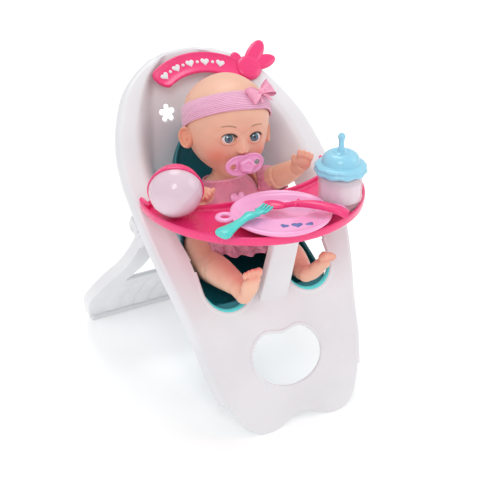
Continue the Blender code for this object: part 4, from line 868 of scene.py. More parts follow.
def hinges():
    """Round caps with a raised rim and a dished middle on each hinge, over a boss on the frame."""
    cap = [
        (0, 0.12), (0.3, 0.12), (0.42, 0.2), (0.6, 0.24), (0.72, 0.18), (0.76, 0.05), (0.74, -0.04),
        (0, -0.04),
    ]
    boss = [(1.0, -1.35), (1.06, -0.5), (1.03, -0.12), (0.96, -0.06), (0.3, -0.06), (0, -0.06)]
    for side, word in SIDES:
        for name, points, nodes in (
            (f"hinge_cap_{word}", catmull(cap, 5), [f"hinge_pin_{word}"]),
            (f"hinge_boss_{word}", catmull(boss, 4), ()),
        ):
            grid = (
                turned(np.clip(points, (0, -9), (9, 9)), 56) @ turn("Y", 90 * side).T
                + (side * HINGE_OUT, *HINGE)
            )
            piece(name, [spun(chair(grid))], "white_plastic", "chair", nodes)


# ---------------------------------------------------------------- rear leg
REAR_STATIONS = [
    (14.05, 17.00, 9.45), (14.90, 14.90, 9.60), (16.90, 11.90, 10.30), (20.40, 8.45, 11.05),
    (24.60, 4.35, 11.15), (28.20, 0.50, 9.70),
]


def rear_leg():
    """A leaning panel with two arms; its sides turn forwards, and ribs and a sunk field are pressed into it."""
    rows = catmull(REAR_STATIONS, 12)
    share = np.linspace(-1, 1, 81)
    y, z, half = (column[:, None] for column in rows.T)
    back = unit(np.gradient(rows[:, :2], axis=0))
    normal = points_of(0 * back[:, 0], -back[:, 1], back[:, 0])
    middle = points_of(share * half, y, z)
    down = (8.45 - z) / (8.45 - 0.5)
    field = eased(down, 0.06, 0.14) * (1 - eased(down, 0.86, 0.94)) * (1 - eased(np.abs(share), 0.78, 0.84))
    ribs = sum(bump(share - at, 0.018) for at in np.linspace(-0.66, 0.66, 9))
    middle = middle - normal[:, None] * (field * (0.22 - 0.2 * ribs))[..., None]
    sides = []
    for column in (0, -1):
        steps = np.linspace(1, 0, 8)[:-1] if column == 0 else np.linspace(0, 1, 8)[1:]
        sign = -1 if column == 0 else 1
        flange = [
            middle[:, column] + normal * 0.9 * s + (sign * 0.18 * math.sin(s * 1.4), 0, 0) for s in steps
        ]
        sides.append(np.stack(flange, axis=1))
    grid = np.concatenate([sides[0], middle, sides[1]], axis=1)
    centre = 0.5 * (z[1:, 0] + z[:-1, 0])
    cell = np.abs(0.5 * (share[1:] + share[:-1]))
    keep = np.ones((grid.shape[0] - 1, grid.shape[1] - 1), bool)
    keep[:, 7:-7] = ~((centre > 8.45)[:, None] & (cell < 0.8)[None])
    mesh = mesh_of("leg_panel", [sheet_patch(chair(grid), keep)], weld=1e-5)
    leg = show("leg_panel", mesh, "white_plastic", "rear_leg", ["rear_leg"], wall=0.3 * CM)
    settled(leg)
    path = points_of(np.linspace(-9.6, 9.6, 60), 28.35, 0.42)
    bar = swept(path, round_section(28, 3, 0.62, 0.42), across=(0, 1.0, 0), up=(0, 0, 1.0))
    piece("foot_bar", [spun(chair(bar))], "white_plastic", "rear_leg")
    lip = points_of(np.linspace(-8.6, 8.6, 60), 20.42, 8.5)
    bead = swept(lip, round_section(18, 2.4, 0.26, 0.24), across=(0, 1.0, 0), up=(0, 0, 1.0))
    piece("panel_edge", [spun(chair(bead))], "white_plastic", "rear_leg")
    eye = catmull([(0, -0.44), (1.0, -0.44), (1.05, -0.3), (1.05, 0.3), (1.0, 0.44), (0, 0.44)], 5)
    for side, word in SIDES:
        grid = turned(np.clip(eye, (0, -9), (9, 9)), 48) @ turn("Y", 90 * side).T + (side * 9.48, *HINGE)
        piece(f"leg_eye_{word}", [spun(chair(grid))], "white_plastic", "rear_leg")
        path = catmull([(side * 9.48, 13.6, 17.6), (side * 9.5, 14.05, 16.9), (side * 9.62, 14.7, 15.4)], 8)
        bar = swept(path, round_section(24, 4, 0.42, 0.75), across=(1.0, 0, 0))
        piece(f"leg_link_{word}", [spun(chair(bar))], "white_plastic", "rear_leg")


# ---------------------------------------------------------------- seat
SEAT_STATIONS = [
    (6.70, 11.00, 6.60, 0.50), (8.00, 10.20, 6.60, 1.90), (10.5, 9.85, 6.55, 3.30), (13.5, 10.10, 6.45, 4.30),
    (16.5, 11.50, 6.00, 4.40), (18.5, 14.20, 5.30, 3.60), (19.5, 17.40, 4.70, 2.60),
    (19.9, 19.50, 4.20, 1.80), (20.0, 21.10, 3.70, 1.10), (20.0, 22.30, 3.00, 0.60),
    (20.0, 23.30, 2.05, 0.30), (20.0, 23.90, 0.80, 0.10),
]


def seat():
    """A gutter that bends up into a back: sine across, sides that rise as a power of the share."""
    rows = catmull(SEAT_STATIONS, 8)
    share = np.linspace(-1, 1, 73)
    y, z, half, side = (column[:, None] for column in rows.T)
    along = unit(np.gradient(rows[:, :2], axis=0))
    x = half * np.sin(share * math.pi / 2) * (1 - 0.04 * share**2)
    channel = 0.06 * sum(bump(np.abs(share) - at, 0.03) for at in (0.28, 0.62))
    rise = side * np.abs(share) ** 2.6 + channel
    grid = points_of(x, y - rise * along[:, 1:2], z + rise * along[:, 0:1])
    mesh = mesh_of("seat_shell", [sheet_patch(chair(grid))])
    shell = show("seat_shell", mesh, "teal_plastic", "chair", ["seat_bucket"], wall=0.22 * CM)
    settled(shell)
    outline = np.concatenate([grid[1:, 0], grid[-1, 1:-1], grid[::-1, -1][:-1]])
    bead = swept(even(outline, 240), round_section(12, 2, 0.17, 0.17))
    piece("seat_rim", [spun(chair(bead))], "teal_plastic", "chair")
    for sign, word in SIDES:
        angle = circle(96)
        reach = LEG_HOLE_R - 0.08
        drop = np.minimum(reach * np.sin(angle), -1.55 + 0.12 * np.cos(2 * angle))
        outer = up_panel(sign * LEG_HOLE_X + reach * np.cos(angle), LEG_HOLE_UP + drop)
        core = up_panel(sign * LEG_HOLE_X, LEG_HOLE_UP - 2.1)
        shares = np.array([0, 0.35, 0.7, 0.9, 0.98, 1.0, 0.98, 0.9, 0.7, 0.35, 0])
        depths = np.array([-0.1, -0.1, -0.1, -0.12, -0.2, -0.3, -0.4, -0.48, -0.52, -0.53, -0.53])
        front = np.array((0, -math.cos(SLOPE), math.sin(SLOPE)))
        floor = core + (outer - core)[None] * shares[:, None, None] + front * depths[:, None, None]
        piece(f"seat_tongue_{word}", [spun(chair(floor))], "teal_plastic", "chair")
        angle = np.radians(np.linspace(-164, -16, 100))
        reach = LEG_HOLE_R - 0.16
        path = up_panel(sign * LEG_HOLE_X + reach * np.cos(angle), LEG_HOLE_UP + reach * np.sin(angle))
        path = path - front * 0.12
        taper = 0.35 + 0.65 * np.sin(np.linspace(0.12, math.pi - 0.12, 100)) ** 0.5
        lip = swept(path, round_section(18, 2, 0.34, 0.34), taper)
        # The lips take the seat's teal painted much lighter, as painted light on the same plastic.
        piece(f"seat_lip_{word}", [spun(chair(lip))], "lip_plastic", "chair",
             slot="teal_plastic")


# ---------------------------------------------------------------- banner
BANNER_LIFT = 0.45
# radii of the arch's edges and of the row of hearts on it
BANNER_OUTER, BANNER_INNER, BANNER_LINE = 8.2, 5.9, 7.05
BANNER_END = 0.75  # radius of the arch's rounded end


def rim_place(points):
    """The leaning plane of the rim below its crown: across, up the plane, out of its front."""
    points = np.asarray(points, float) + (0, 0, BANNER_LIFT)
    return points @ turn("X", 43).T + (0, *FRAME_TOP)


def banner():
    """An arch with a rolled edge and a sunk field, a puffed rabbit's head, and raised hearts and dots on it."""
    angle = np.radians(np.linspace(-37, 45, 180))
    middle = np.array((0.35, -0.95 - BANNER_OUTER))
    near = np.clip(BANNER_END - (angle - angle[0]) * BANNER_LINE, 0, None)
    inset = BANNER_END - np.sqrt(BANNER_END**2 - near**2)
    outer, inner = (
        points_of(middle[0] + r * np.sin(angle), middle[1] + r * np.cos(angle), 0)
        for r in (BANNER_OUTER - inset, BANNER_INNER + inset)
    )
    profile = [
        (0, 0.1, 0), (0, 0.02, 0.06), (0, 0.0, 0.16), (0, 0.02, 0.28), (0, 0.08, 0.36), (0, 0.18, 0.38),
        (0, 0.27, 0.34), (0, 0.33, 0.29), (0.5, 0, 0.29), (1, 0.33, 0.29), (1, 0.27, 0.34), (1, 0.18, 0.38),
        (1, 0.08, 0.36), (1, 0.02, 0.28), (1, 0.0, 0.16), (1, 0.02, 0.06), (1, 0.1, 0), (0.5, 0, 0),
    ]
    grid = banded(outer, inner, profile, (0, 0, 1), closed=False)
    piece("banner_arch", [spun(chair(rim_place(grid)))], "magenta_plastic", "chair", ["banner_sign"])

    def puff(at, half, turned_by, height, base, rows=14):
        """A pillow on an ellipse: height falls with the square of the share out, over a straight skirt."""
        out = np.concatenate([np.linspace(0, 1, rows), [1.0, 0.0]])
        a = circle(56)
        rise = base + height * np.sqrt(np.clip(1 - out**2.6, 0, 1))
        rise[-2:] = 0.0
        flat = points_of(out[:, None] * half[0] * np.cos(a), out[:, None] * half[1] * np.sin(a))
        c, s = math.cos(math.radians(turned_by)), math.sin(math.radians(turned_by))
        return points_of(
            at[0] + flat[..., 0] * c - flat[..., 1] * s, at[1] + flat[..., 0] * s + flat[..., 1] * c,
            rise[:, None],
        )

    shapes = [((6.1, -3.75), (1.32, 1.3), 0, 0.24, 0.34), ((7.35, -2.35), (0.82, 1.85), -46, 0.2, 0.25),
              ((7.85, -3.35), (0.76, 1.6), -82, 0.2, 0.2), ((5.25, -2.35), (0.5, 0.62), 20, 0.16, 0.2)]
    patches = [spun(chair(rim_place(puff(*shape)))) for shape in shapes]
    piece("rabbit_head", patches, "magenta_plastic", "chair")
    decor = []
    for index, degrees in enumerate(np.linspace(-29, 24, 9)):
        a = math.radians(degrees)
        at = (middle[0] + BANNER_LINE * math.sin(a), middle[1] + BANNER_LINE * math.cos(a))
        if index % 2:
            decor.append(puff(at, (0.17, 0.17), 0, 0.1, 0.3, 8))
        else:
            decor.append(small_heart(at, 0.46, -degrees, 0.3, 0.1))
    patches = [spun(chair(rim_place(shape))) for shape in decor]
    piece("banner_hearts", patches, "white_plastic", "chair")


def small_heart(at, size, degrees, base, height, rows=9):
    """A puffed heart: the outline of a heart curve, shrunk inwards as it rises."""
    t = circle(48)
    outline = points_of(
        16 * np.sin(t) ** 3, 13 * np.cos(t) - 5 * np.cos(2 * t) - 2 * np.cos(3 * t) - np.cos(4 * t)
    ) * size / 16
    out = np.concatenate([np.linspace(0, 1, rows), [1.0, 0.0]])
    rise = base + height * np.sqrt(np.clip(1 - out**2.2, 0, 1))
    rise[-2:] = 0.0
    c, s = math.cos(math.radians(degrees)), math.sin(math.radians(degrees))
    x = outline[:, 0] * c - outline[:, 1] * s
    y = outline[:, 0] * s + outline[:, 1] * c
    return points_of(at[0] + out[:, None] * x, at[1] + out[:, None] * y, rise[:, None])


# ---------------------------------------------------------------- tray and what stands on it
TRAY_Z, TRAY_RIM = 20.0, 0.85
TRAY_OUT = (10.8, 11.3, 10.5)  # half width, half depth and centre of the outer ellipse
TRAY_IN = (9.6, 4.5, 12.5)
TRAY_END = 12.2
BALL_R, BALL_IN = 2.45, 2.3


def tray_edges(count=180):
    """The tray's outer and inner ellipses from the right tip round the front to the left tip."""
    edges = []
    for half_x, half_y, centre in (TRAY_OUT, TRAY_IN):
        tip = math.asin(np.clip((TRAY_END - centre) / half_y, -1, 1))
        angle = np.linspace(math.pi - tip, TAU + tip, count)
        ellipse = points_of(half_x * np.cos(angle), centre + half_y * np.sin(angle), 0)
        edges.append(even(ellipse, count))
    return edges


def tray():
    """A crescent band: rolled outer and inner rims over a sunk floor, with a step inside the outer rim."""
    outer, inner = tray_edges()
    rim = TRAY_RIM
    profile = [
        (0, 0.16, 0), (0, 0.06, 0.1), (0, 0.02, 0.3), (0, 0.0, 0.6), (0, 0.0, rim - 0.1),
        (0, 0.04, rim - 0.02), (0, 0.12, rim + 0.02), (0, 0.2, rim - 0.01), (0, 0.26, rim - 0.1),
        (0, 0.29, rim - 0.3), (0, 0.33, 0.42), (0, 0.42, 0.33), (0, 0.55, 0.3), (0.5, 0, 0.3), (1, 0.5, 0.3),
        (1, 0.38, 0.33), (1, 0.3, 0.42), (1, 0.27, rim - 0.3), (1, 0.25, rim - 0.1), (1, 0.2, rim - 0.01),
        (1, 0.12, rim + 0.02), (1, 0.04, rim - 0.02), (1, 0, rim - 0.1), (1, 0, 0.5), (1, 0.02, 0.25),
        (1, 0.08, 0.08), (1, 0.18, 0), (0.5, 0, 0),
    ]
    grid = banded(outer, inner, profile, (0, 0, 1), closed=False) + (0, 0, TRAY_Z)
    piece("tray_shell", [spun(chair(grid))], "magenta_plastic", "tray", ["tray"])
    for side, word in SIDES:
        path = points_of(side * 9.95, np.linspace(11.7, 13.9, 16), TRAY_Z + rim / 2)
        piece(
            f"tray_peg_{word}", [spun(chair(swept(path, round_section(24, 2, 0.28, 0.28))))],
            "magenta_plastic", "tray",
        )


def bottle():
    """Turned pieces: a waisted clear body with milk inside, and a cap with a scalloped collar, dome and teat."""
    at = np.array((5.5, 3.35, TRAY_Z + 0.33))
    outside = [
        (0, 0.0), (1.5, 0.0), (1.72, 0.05), (1.8, 0.2), (1.82, 0.55), (1.9, 0.75), (2.04, 0.92), (2.06, 1.1),
        (2.03, 1.6), (2.05, 2.2), (2.05, 3.15), (1.95, 3.32), (1.82, 3.42), (1.8, 3.7), (1.8, 4.15),
    ]
    inside = [
        (1.66, 4.15), (1.66, 3.7), (1.67, 3.4), (1.88, 3.15), (1.9, 1.6), (1.9, 1.1), (1.68, 0.6),
        (1.64, 0.25), (1.4, 0.15), (0, 0.15),
    ]
    flutes = lambda a, r, h: 0.02 * np.cos(12 * a) * bump(h - 1.7, 0.7)
    profile = np.concatenate([catmull(outside, 4), catmull(inside, 3)])
    piece(
        "bottle_glass", [spun(chair(turned(np.clip(profile, 0, None), 96, flutes) + at))], "clear_plastic",
        "bottle", ["bottle_body"],
    )
    drink = catmull(
        [(0, 0.17), (1.4, 0.17), (1.6, 0.27), (1.64, 0.6), (1.84, 1.1), (1.86, 2.5), (1.8, 2.58), (0, 2.58)],
        4,
    )
    piece(
        "bottle_milk", [spun(chair(turned(np.clip(drink, 0, None), 72) + at))], "milk", "bottle",
        slot="clear_plastic",
    )

    def scallops(a, r, h):
        """Ten petals that swell the collar's skirt and fade upwards."""
        skirt = eased(r, 1.9, 2.25) * (1 - eased(h, 3.9, 4.25))
        return skirt * (0.1 * np.abs(np.cos(5 * a)) ** 0.6 - 0.02)

    collar = [
        (0.36, 5.16), (0.6, 5.33), (0.85, 5.44), (1.15, 5.4), (1.5, 5.18), (1.7, 4.86), (1.76, 4.6),
        (1.8, 4.42), (1.98, 4.33), (2.2, 4.25), (2.3, 4.05), (2.32, 3.7), (2.26, 3.45), (2.32, 3.2),
        (2.38, 2.98), (2.34, 2.78), (2.2, 2.76), (2.05, 2.85), (1.9, 3.0), (1.87, 3.6), (1.87, 4.24),
        (1.5, 4.5), (1.2, 4.95), (0.5, 5.12), (0.36, 5.16),
    ]
    grid = turned(catmull(collar, 4), 160, scallops)
    lower = eased(grid[..., 2], 2.6, 3.3)
    angle = np.arctan2(grid[..., 1], grid[..., 0])
    grid[..., 2] += (
        (1 - lower) * 0.12 * np.abs(np.sin(5 * angle)) + 0.72 * (1 - eased(grid[..., 2], 2.9, 4.6))
    )
    piece("bottle_collar", [spun(chair(grid + at))], "sky_blue_plastic", "bottle_top", ["bottle_cap"])
    teat = [
        (0, 7.28), (0.14, 7.26), (0.27, 7.14), (0.34, 6.95), (0.31, 6.75), (0.25, 6.5), (0.25, 6.1),
        (0.3, 5.75), (0.36, 5.5), (0.5, 5.42), (0.62, 5.36), (0.6, 5.25), (0, 5.2),
    ]
    piece(
        "bottle_nipple", [spun(chair(turned(np.clip(catmull(teat, 5), 0, None), 48) + at))],
        "sky_blue_plastic", "bottle_top", ["bottle_teat"],
    )


def ball():
    """Two half spheres on a leaning axis with a flange between them and a mould line over the clear one."""
    spin = turn("Z", -28) @ turn("X", 104)
    at = np.array((-8.8, 8.6, TRAY_Z + TRAY_RIM + 2.2))

    def placed(points):
        """The ball's own frame, turned and set on the tray."""
        return chair(points @ spin.T + at)

    down = np.linspace(0, math.pi / 2, 34)
    outer = BALL_R * points_of(np.sin(down), np.cos(down))
    inner = BALL_IN * points_of(np.sin(down[::-1]), np.cos(down[::-1]))
    seam = lambda a, r, h: 0.035 * bump(np.abs(np.sin(a - 0.5)) * np.maximum(r, 0.2), 0.05) * (h > 0)
    piece(
        "ball_window", [spun(placed(turned(np.concatenate([outer, inner]), 150, seam)))], "ball_plastic",
        "ball", ["ball_dome"], slot="clear_plastic",
    )
    cup = np.concatenate(
        [
            outer[:-1] * (1, -1), [(2.47, -0.25), (2.57, -0.22), (2.59, -0.12), (2.57, -0.03), (2.3, -0.02)],
            inner[1:] * (1, -1),
        ]
    )
    piece("ball_bowl", [spun(placed(turned(cup, 110)))], "magenta_plastic", "ball", ["ball_cup"])
    beads = [
        ball_grid((0.3, 0.3, 0.3), 16, 20) + p
        for p in (
            (0.9, -1.3, -0.5), (-0.4, -1.6, 0.2), (0.1, -1.2, -1.2), (-1.1, -1.0, 0.7), (1.3, -0.8, 0.6)
        )
    ]
    piece("ball_beads", [spun(placed(bead)) for bead in beads], "pale_pink_plastic", "ball")


PLATE_AT, PLATE_TURN = (-1.2, 2.8, 20.88), -20


def plate_top(x, y):
    """Height of the plate's face: a rim, a flat front shelf and a smooth elliptical well behind it."""
    r = np.hypot(x, y)
    face = 0.7 + 0.08 * bump(r - 4.42, 0.14) - 0.05 * (1 - eased(r, 3.7, 4.2))
    well = np.sqrt(np.clip((x / 3.85) ** 2 + ((y - 1.15) / 2.6) ** 2, 0, None))
    shelf = 0.03 * bump(well - 1.06, 0.07)
    return face + shelf - 0.46 * (1 - eased(well, 0.72, 1.02))


def plate():
    """A disc of rings whose height is the face's height, closed by a flared underside; a ring handle each side."""
    angle = circle(140)[None]
    radius = np.concatenate([np.linspace(0, 4.25, 52), np.linspace(4.3, 4.58, 8)])[:, None]
    x, y = radius * np.cos(angle), radius * np.sin(angle)
    top = points_of(x, y, plate_top(x, y))
    under = np.array(
        [
            (4.61, 0.64), (4.6, 0.56), (4.5, 0.46), (4.25, 0.26), (3.95, 0.06), (3.8, 0.0), (3.3, 0.0),
            (3.2, 0.05), (0, 0.05),
        ]
    )
    grid = np.concatenate([top, turned(under, 140)])
    place = lambda points: chair(points @ turn("Z", PLATE_TURN).T + PLATE_AT)
    piece("plate_dish", [spun(place(grid))], "pale_pink_plastic", "plate", ["plate"])
    rings = []
    for side in (-1, 1):
        a = circle(64)
        path = points_of(side * 5.08 + 0.66 * np.cos(a), 0.66 * np.sin(a), 0.53)
        rings.append(ring(place(swept(path, round_section(16, 2.2, 0.27, 0.2), closed=True))))
    piece("plate_rings", rings, "pale_pink_plastic", "plate")
    patches = []
    for x, size, degrees, height in ((-1.15, 0.42, -30, 0.09), (0.0, 0.55, 0, 0.1), (1.15, 0.42, 30, 0.09)):
        heart = small_heart((0, 0), size, degrees, 0.0, height)
        patches.append(spun(place(heart + (x + 0.9, -2.85, 0.63))))
    piece("plate_hearts", patches, "print_blue", "plate", slot="pale_pink_plastic")


def bearing(direction):
    """The direction's angle round Z, in degrees."""
    return math.degrees(math.atan2(direction[1], direction[0]))


def cutlery():
    """A fork and a spoon: flattened bars with a swelling grip, curved tines, and a bowl as a pressed ellipse."""
    rest = TRAY_Z + TRAY_RIM + 0.7
    start, neck, tip = (
        np.array(p) for p in ((-8.1, 1.3, rest + 0.1), (-4.7, 2.35, rest + 0.66), (-3.9, 2.55, rest + 0.55))
    )
    along = unit(neck - start)
    across = unit(np.cross(along, (0, 0, 1.0)))
    path = catmull(
        [start - along * 0.1, start + along * 0.5, start + along * 1.5, start + along * 2.6, neck, tip], 12
    )
    t = np.linspace(0, 1, len(path))
    wide = 0.46 + 0.36 * bump(t - 0.12, 0.2) + 0.1 * bump(t - 0.8, 0.06) - 0.08 * bump(t - 0.6, 0.14)
    grid = swept(
        path, round_section(28, 2.6),
        points_of(wide, 0.24 + 0.14 * bump(t - 0.12, 0.24) + 0.05 * bump(t - 0.8, 0.06)), across=across,
    )
    patches = [spun(chair(grid))]
    root = catmull([tip - along * 0.25, tip + along * 0.25, tip + along * 0.6], 8)
    patches.append(
        spun(
            chair(
                swept(
                    root, round_section(24, 3),
                    points_of(np.linspace(0.3, 0.55, len(root)), np.full(len(root), 0.12)), across=across,
                )
            )
        )
    )
    for side in (-0.46, -0.155, 0.155, 0.46):
        prong = catmull([tip + along * (0.45 + s) + across * side * (1 + 0.08 * s) + (0, 0, lift)
                         for s, lift in ((0, 0), (0.4, -0.06), (0.8, -0.04), (1.15, 0.05))], 8)
        patches.append(spun(chair(swept(prong, round_section(12, 2.4), np.linspace(0.13, 0.1, len(prong))))))
    piece("fork_body", patches, "turquoise_plastic", "fork", ["fork"])
    grip = start + along * 0.75 + np.array((0, 0, 0.24))
    heart = small_heart((0, 0), 0.26, 0, 0.0, 0.07) @ turn("Z", bearing(along) - 90).T
    piece("fork_heart", [spun(chair(heart + grip))], "sky_blue_plastic", "fork")

    bowl, end = np.array((-1.25, 3.7, rest - 0.02)), np.array((3.3, -1.25, rest + 0.28))
    shares = np.array((0.14, 0.22, 0.3, 0.45, 0.6, 0.75, 0.88, 1.0))
    route = (
        bowl + (end - bowl) * shares[:, None]
        + np.array((0, 0, 0.75)) * (np.sin(math.pi * shares) ** 0.7)[:, None]
    )
    path = catmull(route, 10)
    t = np.linspace(0, 1, len(path))
    heading = unit(end - bowl)
    side = unit(np.cross(heading, (0, 0, 1.0)))
    wide = 0.28 + 0.27 * eased(t, 0.15, 0.6) + 0.06 * bump(t - 0.9, 0.08)
    grid = swept(
        path, round_section(28, 2.6), points_of(wide, 0.24 + 0.08 * eased(t, 0.15, 0.5)), across=side
    )
    patches = [spun(chair(grid))]
    out = np.concatenate([np.linspace(0, 1, 16), [1.02], np.linspace(1, 0, 16)])[:, None]
    a = circle(64)[None]
    level = np.concatenate(
        [0.12 + 0.3 * np.linspace(0, 1, 16) ** 2.4, [0.38], 0.34 * np.linspace(1, 0, 16) ** 2.2]
    )[:, None]
    cup = points_of(1.2 * out * np.cos(a), 0.78 * out * np.sin(a) * (1 - 0.12 * np.cos(a)), level)
    patches.append(spun(chair(cup @ turn("Z", bearing(heading)).T + bowl)))
    knot = bowl + (end - bowl) * 0.3 + np.array((0, 0, 0.62))
    for sign in (-1, 1):
        lobe = ball_grid((0.16, 0.34, 0.22), 18, 24) @ turn("X", sign * 18).T + (0, sign * 0.34, 0.08)
        patches.append(spun(chair(lobe @ turn("Z", bearing(heading)).T + knot)))
    patches.append(spun(chair(ball_grid((0.17, 0.15, 0.17), 16, 20) + knot + (0, 0, 0.05))))
    piece("spoon_body", patches, "magenta_plastic", "spoon", ["spoon"])


# ---------------------------------------------------------------- doll
HEAD = (3.95, 4.4, 4.8)
EYE_X, EYE_Z, EYE_R, EYE_Y = 1.3, -0.8, 0.68, -3.6
MOUTH_Z = -3.0
BUTTON_Z = 4.95
BAND_SLOPE, BAND_Z, BAND_GAP = -28, 0.85, 0.09


def crowded(count, low, high, centre, width, more, closed):
    """Values from low to high, crowded round a centre: read back from the running sum of their density."""
    fine = np.linspace(low, high, 4000)
    running = np.cumsum(1 + more * bump(fine - centre, width))
    running = (running - running[0]) / (running[-1] - running[0])
    return np.interp(np.linspace(0, 1, count, endpoint=not closed), running, fine)


def swollen(points):
    """The head's upper half grown sideways by a bell over its height, and its crown a little flattened."""
    z = points[..., 2:]
    wider = 1 + 0.075 * bump(z - 2.3, 1.7)
    return np.concatenate([points[..., :2] * wider, z * (1 - 0.045 * eased(z, 0, 4.8))], axis=-1)


# how far out, how far to each side of the middle, height, half width and half height
FEATURES = (
    (0.34, 2.05, -2.45, 1.15, 1.1),  # cheeks
    (0.42, 0, -4.2, 1.1, 0.7),  # chin
    (0.34, 0, -3.0, 1.3, 0.9),  # round the mouth
    (0.1, 1.35, 0.25, 0.8, 0.3),  # brows
    (0.22, 0, 1.9, 2.0, 1.4),  # forehead
    (-0.1, 0, -0.55, 0.5, 0.5),  # between the eyes
    (0.62, 0, -1.72, 0.4, 0.38),  # tip of the nose
    (0.26, 0.36, -1.84, 0.22, 0.2),  # sides of the nose
    (0.2, 0, -1.15, 0.28, 0.6),  # bridge of the nose
    (-0.1, 0, -2.35, 0.14, 0.26),  # groove over the lip
    (-0.12, 0, -3.75, 0.6, 0.16),  # hollow over the chin
    (0.12, 0, -2.72, 0.7, 0.16),  # upper lip
    (0.12, 0, -3.3, 0.6, 0.18),  # lower lip
)


def spot(x, z, apart, height, wide, tall):
    """A bell over an ellipse on each side of the face, or over one on its middle where apart is 0."""
    return bump(np.hypot((np.abs(x) - apart) / wide, (z - height) / tall), 1.0)


def lid_share(x, z):
    """Distance from the eye's middle as a share of the lids' outline: two half ellipses, the upper one taller."""
    return np.hypot((np.abs(x) - EYE_X) / 0.66, (z - EYE_Z) / np.where(z > EYE_Z, 0.52, 0.42))


def skull(direction):
    """An ellipsoid that is pushed out where the cheeks, chin, lips, brow, lids and nose are."""
    p = swollen(direction * np.array(HEAD))
    x, y, z = p[..., 0], p[..., 1], p[..., 2]
    face = eased(-y, 0.2, 2.6)
    out = face * sum(amount * spot(x, z, *where) for amount, *where in FEATURES)
    lid = lid_share(x, z)
    out += 0.17 * bump(lid - 1.08, 0.3) * face + 0.06 * bump(lid - 1.55, 0.12) * (z > EYE_Z) * face
    out -= 0.62 * np.sqrt(np.clip(1 - lid**2, 0, 1)) * face + 0.1 * (lid < 0.98) * face
    out += 0.2 * spot(x, z, 0, -4.4, 2.4, 0.9) * eased(-y, -1.0, 1.5)
    return p + direction * out[..., None]


def head():
    """The skull on crowded latitudes and longitudes, ears with a rolled rim, and the painted face values."""
    down = crowded(250, 0, math.pi, 1.82, 0.42, 2.2, False)[:, None]
    angle = crowded(360, -math.pi, math.pi, 0, 0.55, 3.2, True)[None]
    direction = points_of(np.sin(down) * np.sin(angle), -np.sin(down) * np.cos(angle), np.cos(down))
    mesh = mesh_of("face", [spun(head_place(skull(direction)))])
    x, y, z = in_head(mesh).T
    front = eased(-y, 1.0, 3.0)
    ax = np.abs(x)
    lid = lid_share(x, z)
    blush = spot(x, z, 2.2, -2.5, 1.1, 0.9) + 0.5 * spot(x, z, 0, -1.8, 0.5, 0.4)
    blush += 0.45 * bump(lid - 1.15, 0.22) + 0.35 * spot(x, z, 0, -4.2, 1.1, 0.5)
    number(mesh, "blush", np.clip(blush * front, 0, 1))
    number(mesh, "lips", spot(x, z, 0, MOUTH_Z, 0.85, 0.36) * front)
    arch = 0.30 + 0.16 * (1 - ((ax - 1.4) / 0.75) ** 2)
    brow = bump(
        z - arch, 0.055 + 0.02 * bump(ax - 1.1, 0.5)
    ) * eased(ax, 0.62, 0.85) * (1 - eased(ax, 1.95, 2.2))
    number(mesh, "brow", brow * front)
    lash = bump(lid - 1.0, 0.12) * (z > EYE_Z + 0.1) * eased(z, EYE_Z + 0.05, EYE_Z + 0.3) * front
    number(mesh, "lash", np.clip(lash * 1.7, 0, 1))
    show("face", mesh, "skin_vinyl", "head", ["head"], sharp=80)

    for side, word in SIDES:
        out = np.concatenate([np.linspace(0, 1, 26), np.linspace(1.0, 0, 12)[1:]])[:, None]
        a = circle(64)[None]
        front_side = (np.arange(37) < 26)[:, None]
        rim = (
            0.34 * bump(out - 0.84, 0.13) - 0.22 * bump(out - 0.4, 0.3)
            + 0.16 * bump(np.hypot(out * np.cos(a) - 0.1, out * np.sin(a) + 0.05), 0.22)
        )
        high = np.where(front_side, 0.22 + rim, -0.15 * (1 - out**2))
        high = high * np.where(front_side, 1 - 0.9 * eased(out, 0.93, 1.0), 1)
        wide = 0.78 * (1 + 0.18 * np.sin(a))
        flat = points_of(high, out * wide * np.cos(a), out * 1.08 * np.sin(a))
        placed = (
            (flat * (side, 1, 1)) @ turn("Z", -side * 34).T @ turn("X", -12).T + (side * 3.92, 0.0, -1.35)
        )
        ear = mesh_of(f"ear_{word}", [spun(head_place(placed))])
        number(ear, "blush", np.full(len(ear.vertices), 0.35))
        show(f"ear_{word}", ear, "skin_vinyl", "head", sharp=80)

        eye = ball_grid((EYE_R,) * 3, 80, 110) @ turn("X", 90).T
        ball_mesh = mesh_of(f"eyeball_{word}", [spun(head_place(eye + (side * EYE_X, EYE_Y, EYE_Z)))])
        centre = head_place(np.array((side * EYE_X, EYE_Y, EYE_Z)))
        look = unit(head_place(np.array((side * EYE_X - 0.12, EYE_Y - 1, EYE_Z + 0.04))) - centre)
        # spark is the way to the painted highlight, a white spot painted on each eye where light would glint.
        spark = unit(head_place(np.array((side * EYE_X - 0.36, EYE_Y - 1, EYE_Z + 0.34))) - centre)
        facing = unit(places(ball_mesh) - centre)
        number(ball_mesh, "gaze", np.arccos(np.clip(facing @ look, -1, 1)))
        number(ball_mesh, "painted_highlight", 1 - eased(np.arccos(np.clip(facing @ spark, -1, 1)), 0.07, 0.1))
        show(f"eyeball_{word}", ball_mesh, "eye_plastic", "head", [f"eye_{word}"])

        t = np.linspace(-1, 1, 15)
        lashes = []
        for share in t:
            root = np.array(
                (side * EYE_X + share * 0.58, 0.0, EYE_Z + 0.5 * math.sqrt(max(0, 1 - (share * 0.9) ** 2)))
            )
            root[1] = -HEAD[1] * math.sqrt(1 - (root[0] / HEAD[0]) ** 2 - (root[2] / HEAD[2]) ** 2) - 0.12
            tip = root + (share * 0.14, -0.16, 0.12)
            hair = catmull([root, root + (share * 0.05, -0.1, 0.01), tip], 4)
            lashes.append(
                spun(head_place(swept(hair, round_section(6, 2), np.linspace(0.036, 0.012, len(hair)))))
            )
        piece(f"lashes_{word}", lashes, "black_plastic", "head", slot="eye_plastic")


